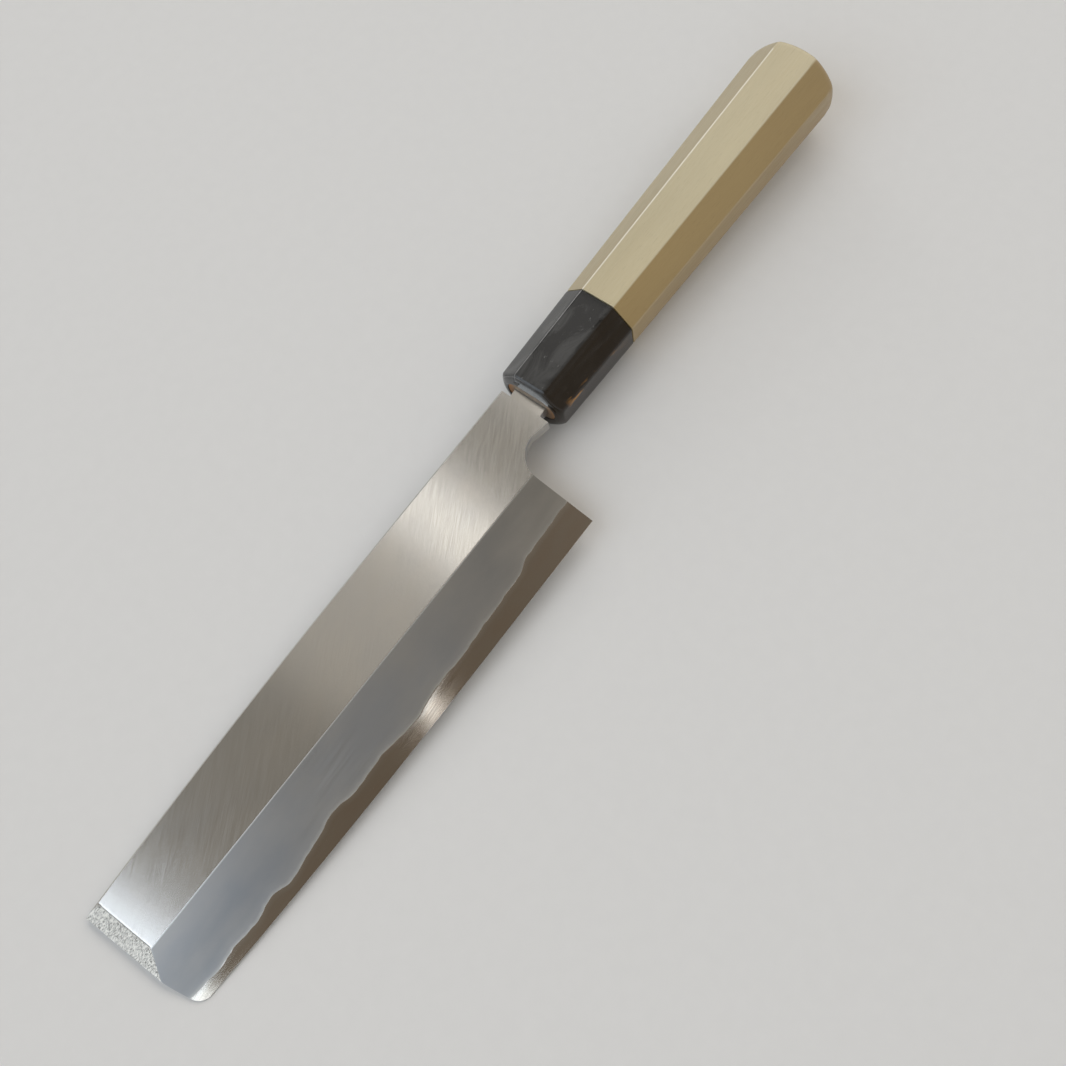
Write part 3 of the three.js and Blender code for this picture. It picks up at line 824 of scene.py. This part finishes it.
def row_knots(blade, side, start):
    """Where a row starts, comes near the nose face, meets it, and ends on the outline"""
    end = blade.nose
    for _ in range(OUTLINE_TRIES):
        end = blade.outline_nose(side(end))
    low, high = blade.nose - 3 * NOSE_BEVEL_RUN, end
    for _ in range(NOSE_FACE_TRIES):
        middle = (low + high) / 2
        if blade.on_nose(middle, side(middle)):
            high = middle
        else:
            low = middle
    return start, high - NOSE_NEAR, high, end


def along_row(knots, at):
    """The x of a place along a row, counted in legs between its knots"""
    leg = min(int(at), len(knots) - 2)
    return mix(knots[leg], knots[leg + 1], at - leg)


def neck_places(blade, start):
    """Places along the neck and round the throat, up to where the ridge line starts"""
    bend = blade.throat_bend
    run = blade.ridge_start - bend
    straight = [start, mix(start, bend, 0.5), bend]
    turns = [math.pi / 2 * i / THROAT_STEPS for i in range(1, THROAT_STEPS + 1)]
    return straight + [bend + run * math.sin(turn) for turn in turns]


def tang_lift(blade):
    """How far the tang's face rises in the mouth, to come just under the neck's flat"""
    return TANG_LIFT * (blade.flat(blade.size.machi_gap) - blade.size.tang_mouth_thickness / 2)


def soft_iron_loops(blade):
    """Sections of the soft iron from the tang's end to where the nose face meets the weld"""
    size = blade.size

    def tang(x, share, lift=0.0):
        """Oblong section, a share of the way to the tang's end, its face raised by a lift"""
        wide = mix(size.tang_mouth_width, size.tang_end_width, share) / 2
        thick = mix(size.tang_mouth_thickness, size.tang_end_thickness, share) / 2
        high = thick + lift
        side = [Vector((x(wide), wide, mix(high, -thick, k))) for k in BEVEL_ROWS]
        top = [Vector((x(mix(wide, -wide, h)), mix(wide, -wide, h), high)) for h in FLAT_ROWS]
        return side + top + [Vector((x(-wide), -wide, high / 2)), Vector((x(-wide), -wide, -thick))]

    def neck(x, floor):
        """Section of the neck down to a floor, with the spine's corner eased"""
        side_x = x(blade.neck_edge)
        side_y, spine = blade.throat(side_x), blade.spine_start
        side = [Vector((side_x, side_y, mix(blade.flat(side_x), floor, k))) for k in BEVEL_ROWS]
        across = [mix(side_y, spine + SPINE_EASE, h) for h in FLAT_ROWS]
        top = [Vector((x(y), y, blade.flat(x(y)))) for y in across]
        eased = Vector((x(spine), spine, blade.flat(x(spine)) - SPINE_EASE))
        return side + top + [eased, Vector((x(spine), spine, floor))]

    def machi(y):
        """The x of the slanting shoulders"""
        return size.machi_gap + MACHI_SLANT * (y - blade.spine_start) / size.neck_height

    bevel_rows = [lambda x, k=k: mix(blade.ridge(x), blade.weld_side(x), k) for k in BEVEL_ROWS]
    flat_rows = [lambda x, h=h: mix(blade.ridge(x), blade.spine(x) + SPINE_EASE, h) for h in FLAT_ROWS]
    rows = bevel_rows + flat_rows + [blade.spine]
    starts = [blade.heel_line(side(blade.heel)) for side in bevel_rows]
    starts += [blade.ridge_start] * (len(rows) - len(starts))
    knots = [row_knots(blade, side, start) for side, start in zip(rows, starts)]

    def section(at, wall_foot=False):
        """Section of the blade down to the weld, or the foot of the nose's wall"""
        points = []
        for side, knot in zip(rows, knots):
            x = along_row(knot, at)
            y = side(x)
            weld = blade.weld(x)
            points.append(Vector((x, y, weld if wall_foot else max(blade.top(x, y), weld))))
        spine = points[-1]
        return points + [Vector((spine.x, spine.y, blade.weld(spine.x)))]

    level = tang_lift(blade)
    loops = [tang(lambda y: -size.tang_length, 1), tang(lambda y: -2 * FILLER_RECESS, 0)]
    loops += [tang(lambda y: -FILLER_RECESS, 0, level), tang(machi, 0, level - TANG_SLOPE)]
    loops.append(neck(machi, blade.back))
    first = size.machi_gap + MACHI_SLANT
    places = neck_places(blade, first)[1:]
    loops += [neck(lambda y, x=x: x, blade.back) for x in places if x < blade.steel_start]
    loops.append(neck(lambda y: blade.steel_start, blade.back))
    loops.append(neck(lambda y: blade.steel_start, blade.weld(blade.heel)))
    loops += [neck(lambda y, x=x: x, blade.weld(blade.heel)) for x in places if x > blade.steel_start]
    loops += [section(at) for at in stations(blade)]
    return loops + [section(stations(blade)[-1], wall_foot=True)]


def hard_steel_loops(blade):
    """Sections of the hard steel plate: weld side, strip by the edge, then the hollow back"""

    def neck(x):
        """Section of the plate under the neck and the throat"""
        side, spine, weld = blade.throat(x), blade.spine_start, blade.weld(blade.heel)
        top = [Vector((x, mix(spine, side, h), weld)) for h in HIDDEN_ROWS]
        top += [Vector((x, side, mix(weld, blade.foot, s))) for s in STRIP_ROWS]
        under = [Vector((x, mix(spine, side, i / (len(top) - 1)), blade.back)) for i in range(len(top))]
        return top + under[::-1]

    hidden = [lambda x, h=h: mix(blade.spine(x), blade.weld_side(x), h) for h in HIDDEN_ROWS]
    strip = [lambda x, s=s: mix(blade.weld_side(x), blade.edge(x), s) for s in STRIP_ROWS]
    rows = hidden + strip

    def start(side):
        y = side(blade.heel)
        return blade.heel_line(y) if y > blade.ridge(blade.heel) else blade.ridge_start

    knots = [row_knots(blade, side, start(side)) for side in rows]

    def back_side(x, i):
        """The y of a row of the back, before it slides over to the weld side's row"""
        edge = blade.edge(x)
        low, high = blade.spine(x) + HOLLOW_RIM, edge - HOLLOW_RIM
        if i == 0:
            return blade.spine(x)
        if i <= len(HOLLOW_ROWS):
            return mix(low, high, HOLLOW_ROWS[i - 1] / 2 + 0.5)
        return mix(high, edge, (i - len(HOLLOW_ROWS)) / (len(rows) - 1 - len(HOLLOW_ROWS)))

    def section(at, closing=False):
        """Section of the plate, or the line that closes it at the nose"""
        top, under = [], []
        to_nose = ease(min(max((at - BACK_STRAIGHT) / (1 - BACK_STRAIGHT), 0), 1))
        for i, (side, knot) in enumerate(zip(rows, knots)):
            x = along_row(knot, at)
            y = side(x)
            height = min(blade.weld(x), blade.top(x, y))
            if i == len(rows) - 1:
                height = blade.back + EDGE_LAND * EDGE_KEEN
            top.append(Vector((x, y, height)))
            beneath = mix(back_side(x, i), y, to_nose)
            under.append(Vector((x, beneath, blade.back + blade.hollow(x, beneath))))
        if closing:
            top = [Vector((p.x, p.y, (p.z + q.z) / 2)) for p, q in zip(top, under)]
            under = top
        return top + under[::-1]

    places = [blade.steel_start] + [x for x in neck_places(blade, 0) if x > blade.steel_start]
    loops = [neck(x) for x in places]
    loops += [section(at) for at in stations(blade)]
    return loops + [section(stations(blade)[-1], closing=True)]


def octagon(handle, x, inset=0.0):
    """Handle section at a place along it, drawn in by an inset, with rounded ridges"""
    share = -x / handle_length(handle)
    side = mix(handle.mouth_height, handle.butt_height, share) / 2
    top = mix(handle.mouth_thickness, handle.butt_thickness, share) / 2
    top_flat = mix(handle.mouth_top_flat, handle.butt_top_flat, share) / 2
    side_flat = mix(handle.mouth_side_flat, handle.butt_side_flat, share) / 2
    slant = Vector((top - side_flat, side - top_flat)).normalized()
    slant_reach = slant.x * side + slant.y * side_flat - inset
    corner_y = (slant_reach - slant.y * (top - inset)) / slant.x
    corner_z = (slant_reach - slant.x * (side - inset)) / slant.y
    quarter = [(side - inset, corner_z), (corner_y, top - inset)]
    corners = quarter + [(-y, z) for y, z in quarter[::-1]]
    corners += [(-y, -z) for y, z in corners]
    corners = [Vector((x, y, z)) for y, z in corners]
    points = []
    for i, corner in enumerate(corners):
        before, after = corners[i - 1], corners[(i + 1) % len(corners)]
        start = corner + (before - corner).normalized() * RIDGE_EASE
        end = corner + (after - corner).normalized() * RIDGE_EASE
        following = after + (corner - after).normalized() * RIDGE_EASE
        points += [start, (start + end) / 4 + corner / 2, end]
        points += [end.lerp(following, share) for share in FACET_SHARES]
    return points


def rays(loop):
    """Directions of a loop's points round the handle's axis"""
    return [Vector((point.y, point.z)).normalized() for point in loop]


def oval(x, inset, directions):
    """Flat oval section of bore, tenon and filler, one point along each direction"""
    radius = BORE_THICKNESS / 2 - inset
    straight = (BORE_HEIGHT - BORE_THICKNESS) / 2
    points = []
    for way in directions:
        out = radius / max(abs(way.y), TINY)
        if abs(out * way.x) > straight:
            out = straight * abs(way.x) + math.sqrt(radius**2 - (straight * way.y) ** 2)
        points.append(Vector((x, out * way.x, out * way.y)))
    return points


def slot(x, wide, high, low, directions):
    """Oblong section round the tang, one point along each direction and one in each corner"""
    points = []
    for way in directions:
        out = min(wide / max(abs(way.x), TINY), (high if way.y > 0 else low) / max(abs(way.y), TINY))
        points.append(Vector((x, out * way.x, out * way.y)))
    for corner in (Vector((x, y, z)) for y in (-wide, wide) for z in (-low, high)):
        nearest = min(range(len(points)), key=lambda i: (points[i] - corner).length)
        points[nearest] = corner
    return points


def tang_slot(size, x, directions, clearance=TANG_CLEARANCE, lift=0.0):
    """Oblong section that clears the tang, its upper side raised by a lift"""
    share = max(0, -x / size.tang_length)
    wide = mix(size.tang_mouth_width, size.tang_end_width, share) / 2 + clearance
    thick = mix(size.tang_mouth_thickness, size.tang_end_thickness, share) / 2 + clearance
    return slot(x, wide, thick + lift, thick, directions)


def turned(loop, limit, softness):
    """Draws in the points of a section that stand farther out than a turned limit"""
    points = []
    for point in loop:
        radius = math.hypot(point.y, point.z)
        shrink = soft_min(radius, limit, softness) / radius
        points.append(Vector((point.x, point.y * shrink, point.z * shrink)))
    return points


def horn_ferrule_loops(handle):
    """Sections of the ferrule: its back, the outside, the rounded rim and the bore's front"""
    back = -handle.ferrule_length
    directions = rays(octagon(handle, 0))

    def mouth(x, inset=0.0):
        """Section near the mouth, turned round on its corners"""
        share = max(0, 1 + x / MOUTH_TURN_DEPTH)
        limit = mix(MOUTH_TURN_INNER, MOUTH_TURN_OUTER, math.sqrt(1 - share * share))
        return turned(octagon(handle, x, inset), limit + MOUTH_SOFT * (1 - share), MOUTH_SOFT)

    rim = [mouth(mix(-MOUTH_TURN_DEPTH, -RIM_ROUND, i / MOUTH_STEPS)) for i in range(MOUTH_STEPS)]
    for i in range(RIM_STEPS + 1):
        angle = math.pi / 2 * i / RIM_STEPS
        rim.append(mouth(-RIM_ROUND * (1 - math.sin(angle)), RIM_ROUND * (1 - math.cos(angle))))
    bore_front = oval(-SEAM_EASE, 0, directions)
    lip = oval(0, -SEAM_EASE, directions)
    seam = [octagon(handle, back, SEAM_EASE), octagon(handle, back + SEAM_EASE)]
    places = [mix(back + SEAM_EASE, -MOUTH_TURN_DEPTH, i / FERRULE_STEPS) for i in range(1, FERRULE_STEPS)]
    along = [octagon(handle, x) for x in places]
    return [oval(back, 0, directions)] + seam + along + rim + [lip, bore_front]


def wood_grip_loops(handle, size):
    """Sections of the grip: the tang's slot, the tenon, the outside and the domed butt"""
    front = -handle.ferrule_length - GLUE_LINE
    butt = -handle_length(handle)
    tenon_front = -FILLER_DEPTH - TENON_CLEARANCE
    directions = rays(octagon(handle, front))
    outer = math.hypot(handle.butt_height, handle.butt_side_flat) / 2
    flat_end = outer - BUTT_DOME_WIDTH

    def domed(x, limit):
        """Section of the butt, turned down to the dome's radius"""
        return turned(octagon(handle, x), limit, DOME_SOFT)

    loops = [tang_slot(size, -size.tang_length - TANG_CLEARANCE, directions)]
    loops.append(tang_slot(size, tenon_front, directions))
    loops += [oval(tenon_front, TENON_CLEARANCE, directions), oval(front, TENON_CLEARANCE, directions)]
    loops += [octagon(handle, front, SEAM_EASE), octagon(handle, front - SEAM_EASE)]
    dome_start = butt + BUTT_DOME_DEPTH
    for i in range(1, GRIP_STEPS + 1):
        loops.append(octagon(handle, mix(front - SEAM_EASE, dome_start + DOME_LEAD, i / GRIP_STEPS)))
    for ahead in DOME_LEAD_PLACES:
        loops.append(domed(dome_start + ahead, outer + DOME_SOFT * ahead / DOME_LEAD))
    for i in range(1, DOME_STEPS + 1):
        angle = math.pi / 2 * (1 - i / DOME_STEPS)
        x = butt + BUTT_CROWN + (BUTT_DOME_DEPTH - BUTT_CROWN) * (1 - math.cos(angle))
        loops.append(domed(x, outer - BUTT_DOME_WIDTH * (1 - math.sin(angle))))
    for share in CROWN_SHARES:
        loops.append(domed(butt + BUTT_CROWN * share * share, flat_end * share))
    return loops


def mouth_filler_loops(handle, blade):
    """Sections of the filler: inside along the tang, sagging front, then outside to the back"""
    size = blade.size
    directions = rays(octagon(handle, 0))
    front, back = -FILLER_RECESS, -FILLER_DEPTH
    inner = tang_slot(size, front, directions, FILLER_FIT, tang_lift(blade))
    outer = oval(front, FILLER_FIT, directions)
    sag = Vector((-FILLER_SAG, 0, 0))
    middle = [p.lerp(q, 0.5) + sag for p, q in zip(inner, outer)]
    inner_middle = tang_slot(size, back / 2, directions, FILLER_FIT, tang_lift(blade))
    inner_back = tang_slot(size, back, directions, FILLER_FIT)
    return [inner_back, inner_middle, inner, middle, outer, oval(back, FILLER_FIT, directions)]


class UsubaOperator(bpy.types.Operator):
    """Shared ground of the operators"""

    bl_options = {"REGISTER", "UNDO"}

    @property
    def blade(self):
        return BladeForm(bpy.context.scene.usuba_blade)

    @property
    def handle(self):
        return bpy.context.scene.usuba_handle

    @property
    def colours(self):
        return bpy.context.scene.usuba_colours

    @property
    def place(self):
        return knife_place(self.blade, self.handle)


class USUBA_OT_soft_iron_body(UsubaOperator):
    """Model the soft iron body with its neck and tang"""

    bl_idname = "usuba.soft_iron_body"
    bl_label = "Soft Iron Body"

    def execute(self, context):
        blade, colours = self.blade, self.colours
        body = loft("soft_iron_body_skin", soft_iron_loops(blade))
        map_blade(body, blade)

        def choose(middle, normal):
            if normal.z < FACES_UP:
                return "wall"
            if middle.x > blade.ridge_start and blade.on_nose(middle.x, middle.y):
                return "nose"
            if middle.x > blade.ridge_start and middle.y > blade.ridge(middle.x):
                return "bevel"
            return "flat"

        finishes = {
            "flat": satin_iron(colours),
            "bevel": hazy_iron(colours),
            "nose": scratched_iron(colours),
            "wall": ground_iron(colours),
        }
        wear(body, finishes, choose)
        finish_piece(body, self.place, "soft_iron_body", SHARP_IRON)
        return {"FINISHED"}


class USUBA_OT_hard_steel_edge(UsubaOperator):
    """Model the hard steel plate with its polished strip and hollow back"""

    bl_idname = "usuba.hard_steel_edge"
    bl_label = "Hard Steel Edge"

    def execute(self, context):
        blade, colours = self.blade, self.colours
        body = loft("hard_steel_edge_skin", hard_steel_loops(blade))
        map_blade(body, blade)

        def choose(middle, normal):
            if normal.z < -FACES_UP:
                return "back"
            if normal.z > FACES_UP and middle.y > blade.weld_side(middle.x):
                return "strip"
            return "wall"

        finishes = {
            "strip": polished_steel(colours),
            "back": bpy.data.materials["satin_iron"],
            "wall": bpy.data.materials["ground_iron"],
        }
        wear(body, finishes, choose)
        finish_piece(body, self.place, "hard_steel_edge", SHARP_STEEL)
        return {"FINISHED"}


class USUBA_OT_horn_ferrule(UsubaOperator):
    """Model the horn ferrule with its rounded mouth"""

    bl_idname = "usuba.horn_ferrule"
    bl_label = "Horn Ferrule"

    def execute(self, context):
        body = loft("horn_ferrule_skin", horn_ferrule_loops(self.handle), ring=True)
        mark_wear_and_highlight(body, -self.handle.ferrule_length, -RIM_ROUND * (1 - math.sin(math.pi / 4)))
        body.data.materials.append(black_horn(self.colours))
        finish_piece(body, self.place, "horn_ferrule", SHARP_HANDLE)
        return {"FINISHED"}


class USUBA_OT_wood_grip(UsubaOperator):
    """Model the wood grip with its tenon, tang slot and domed butt"""

    bl_idname = "usuba.wood_grip"
    bl_label = "Wood Grip"

    def execute(self, context):
        body = loft("wood_grip_skin", wood_grip_loops(self.handle, context.scene.usuba_blade))
        mark_wear_and_highlight(body, BUTT_DOME_DEPTH - handle_length(self.handle), 0)
        body.data.materials.append(grained_wood(self.colours))
        finish_piece(body, self.place, "wood_grip", SHARP_HANDLE)
        return {"FINISHED"}


class USUBA_OT_mouth_filler(UsubaOperator):
    """Model the filler round the tang"""

    bl_idname = "usuba.mouth_filler"
    bl_label = "Mouth Filler"

    def execute(self, context):
        body = loft("mouth_filler_skin", mouth_filler_loops(self.handle, self.blade), ring=True)
        body.data.materials.append(lumpy_filler(self.colours))
        finish_piece(body, self.place, "mouth_filler", SHARP_HANDLE)
        return {"FINISHED"}


def softbox(name, place, aim, size, brightness, tint):
    """Soft lamp that looks at a point, its width lying along X, with a brightness of 1 as white"""
    bpy.ops.object.light_add(type="AREA", location=place)
    lamp = bpy.context.object
    lamp.name = name
    back = (Vector(place) - Vector(aim)).normalized()
    across = (Vector((1, 0, 0)) - back * back.x).normalized()
    lamp.rotation_euler = Matrix((across, back.cross(across), back)).transposed().to_euler()
    lamp.data.shape = "RECTANGLE"
    lamp.data.size, lamp.data.size_y = size
    lamp.data.energy = brightness * math.pi * size[0] * size[1]
    lamp.data.color = tint
    lamp.visible_camera = False


class USUBA_OT_stage(UsubaOperator):
    """Set the floor, the lamps, the sky and the camera"""

    bl_idname = "usuba.stage"
    bl_label = "Stage"

    def execute(self, context):
        self.lay_floor()
        self.light_sky(context.scene)
        self.hang_lamps()
        self.stand_camera(context.scene)
        context.scene.view_settings.view_transform = "Standard"
        return {"FINISHED"}

    def lay_floor(self):
        """Wide pale disc with a faint grain"""
        bpy.ops.object.select_all(action="DESELECT")
        bpy.ops.mesh.primitive_circle_add(vertices=FLOOR_POINTS, radius=FLOOR_RADIUS, fill_type="NGON")
        floor = bpy.context.object
        floor.name = "pale_floor"
        look = Shading("pale_floor")
        grain = look.noise(look.place((220, 220, 220)), detail=3)
        shade = [0.985 * c for c in self.colours.floor]
        tint = look.blend(look.span(grain, *NOISE_RANGE, 0, 1), self.colours.floor, shade)
        look.set(base_color=tint, roughness=0.7)
        floor.data.materials.append(look.material)

    def light_sky(self, scene):
        """Pale horizon, dim top, a broad soft light at each end of the knife and a small one by the spine"""
        world = bpy.data.worlds.new("studio")
        scene.world = world
        world.use_nodes = True
        sky = Nodes(world.node_tree)
        way = sky.add("TexCoord").outputs["Generated"]
        split = sky.add("SeparateXYZ", vector=way)
        height = split.outputs["Z"]
        horizon = (0, (0.72, 0.715, 0.71))
        top = ((0.86, (0.33, 0.32, 0.30)), (0.94, (0.27, 0.25, 0.22)), (1.0, (0.165, 0.143, 0.115)))
        spine_side = sky.ramp(height, horizon, (0.22, (0.50, 0.50, 0.50)), (0.78, (0.40, 0.40, 0.39)), *top)
        edge_side = sky.ramp(height, horizon, (0.14, (0.50, 0.47, 0.43)), (0.45, (0.30, 0.26, 0.21)), *top)
        walls = sky.blend(sky.span(split.outputs["Y"], -0.5, 0.5, 0, 1), spine_side, edge_side)
        wide = (math.radians(30), math.radians(52))
        butt = sky.lobe(way, (-0.7, 0, 0.71), *wide, (1.36, 1.29, 1.20))
        nose = sky.lobe(way, (0.7, 0, 0.71), *wide, (1.08, 1.23, 1.41))
        ends = sky.span(sky.maths("ABSOLUTE", split.outputs["X"]), 0.41, 0.53, 0, 1)
        ends = sky.times(ends, sky.span(height, 0.12, 0.45, 0, 1))
        glow = sky.blend(ends, (0, 0, 0), sky.blend(1.0, butt, nose, "ADD"))
        spine = sky.lobe(way, (-0.6, -1.2, 0.55), math.radians(5), math.radians(12), (2.6, 2.6, 2.6))
        glow = sky.blend(1.0, glow, spine, "ADD")
        sky.feed(world.node_tree.nodes["Background"].inputs["Color"], sky.blend(1.0, walls, glow, "ADD"))

    def hang_lamps(self):
        """Soft lamps that the ferrule, the flat and the edge mirror"""
        blade_middle = Vector((65, 0, 5)) * MM
        edge_middle = Vector((65, 20, 3)) * MM
        softbox("ferrule_card", (-0.38, -0.45, 1.0), Vector(), (0.16, 0.3), 0.75, (1.0, 0.98, 0.95))
        softbox("heel_strip", (-0.13, -0.42, 1.0), blade_middle, (0.07, 0.3), 1.5, (1.0, 0.995, 0.985))
        softbox("middle_card", (0.01, -0.42, 1.0), blade_middle, (0.18, 0.3), 0.26, (1.0, 0.97, 0.92))
        softbox("nose_strip", (0.437, -0.35, 1.0), blade_middle, (0.12, 0.5), 2.5, (0.76, 0.86, 1.0))
        softbox("tip_card", (0.425, -0.005, 1.0), edge_middle, (0.09, 0.09), 2.6, (0.74, 0.88, 1.0))
        softbox("edge_lamp", (0.034, 0.005, 1.0), edge_middle, (0.018, 0.08), 2.1, (0.92, 0.97, 1.0))

    def stand_camera(self, scene):
        """Camera at the photograph's angle"""
        bpy.ops.object.camera_add(location=CAMERA_PLACE)
        camera = bpy.context.object
        back = -CAMERA_LOOK.normalized()
        right = CAMERA_UP.cross(back).normalized()
        turn = Matrix((right, back.cross(right), back)).transposed()
        camera.rotation_euler = turn.to_euler()
        camera.data.sensor_width = SENSOR_WIDTH
        camera.data.lens = FOCAL_PIXELS / PHOTO_PIXELS * SENSOR_WIDTH
        camera.data.clip_start = CAMERA_CLIP
        scene.camera = camera


STEPS = (
    USUBA_OT_soft_iron_body,
    USUBA_OT_hard_steel_edge,
    USUBA_OT_horn_ferrule,
    USUBA_OT_wood_grip,
    USUBA_OT_mouth_filler,
    USUBA_OT_stage,
)


class USUBA_PT_panel(bpy.types.Panel):
    """Lists the steps, the sizes and the colours"""

    bl_idname = "USUBA_PT_panel"
    bl_label = "Usuba Knife"
    bl_space_type = "VIEW_3D"
    bl_region_type = "UI"
    bl_category = "Usuba"

    def draw(self, context):
        for step in STEPS:
            self.layout.operator(step.bl_idname)
        for group in (context.scene.usuba_blade, context.scene.usuba_handle, context.scene.usuba_colours):
            box = self.layout.box()
            for name in group.__annotations__:
                box.prop(group, name)


GROUPS = {"usuba_blade": UsubaBladeSizes, "usuba_handle": UsubaHandleSizes, "usuba_colours": UsubaColours}


def register():
    for group in (*GROUPS.values(), *STEPS, USUBA_PT_panel):
        bpy.utils.register_class(group)
    for name, group in GROUPS.items():
        setattr(bpy.types.Scene, name, PointerProperty(type=group))


def unregister():
    for name in GROUPS:
        delattr(bpy.types.Scene, name)
    for group in (USUBA_PT_panel, *STEPS[::-1], *GROUPS.values()):
        bpy.utils.unregister_class(group)


def main():
    register()
    bpy.ops.usuba.soft_iron_body()
    bpy.ops.usuba.hard_steel_edge()
    bpy.ops.usuba.horn_ferrule()
    bpy.ops.usuba.wood_grip()
    bpy.ops.usuba.mouth_filler()
    bpy.ops.usuba.stage()


if __name__ == "__main__":
    main()
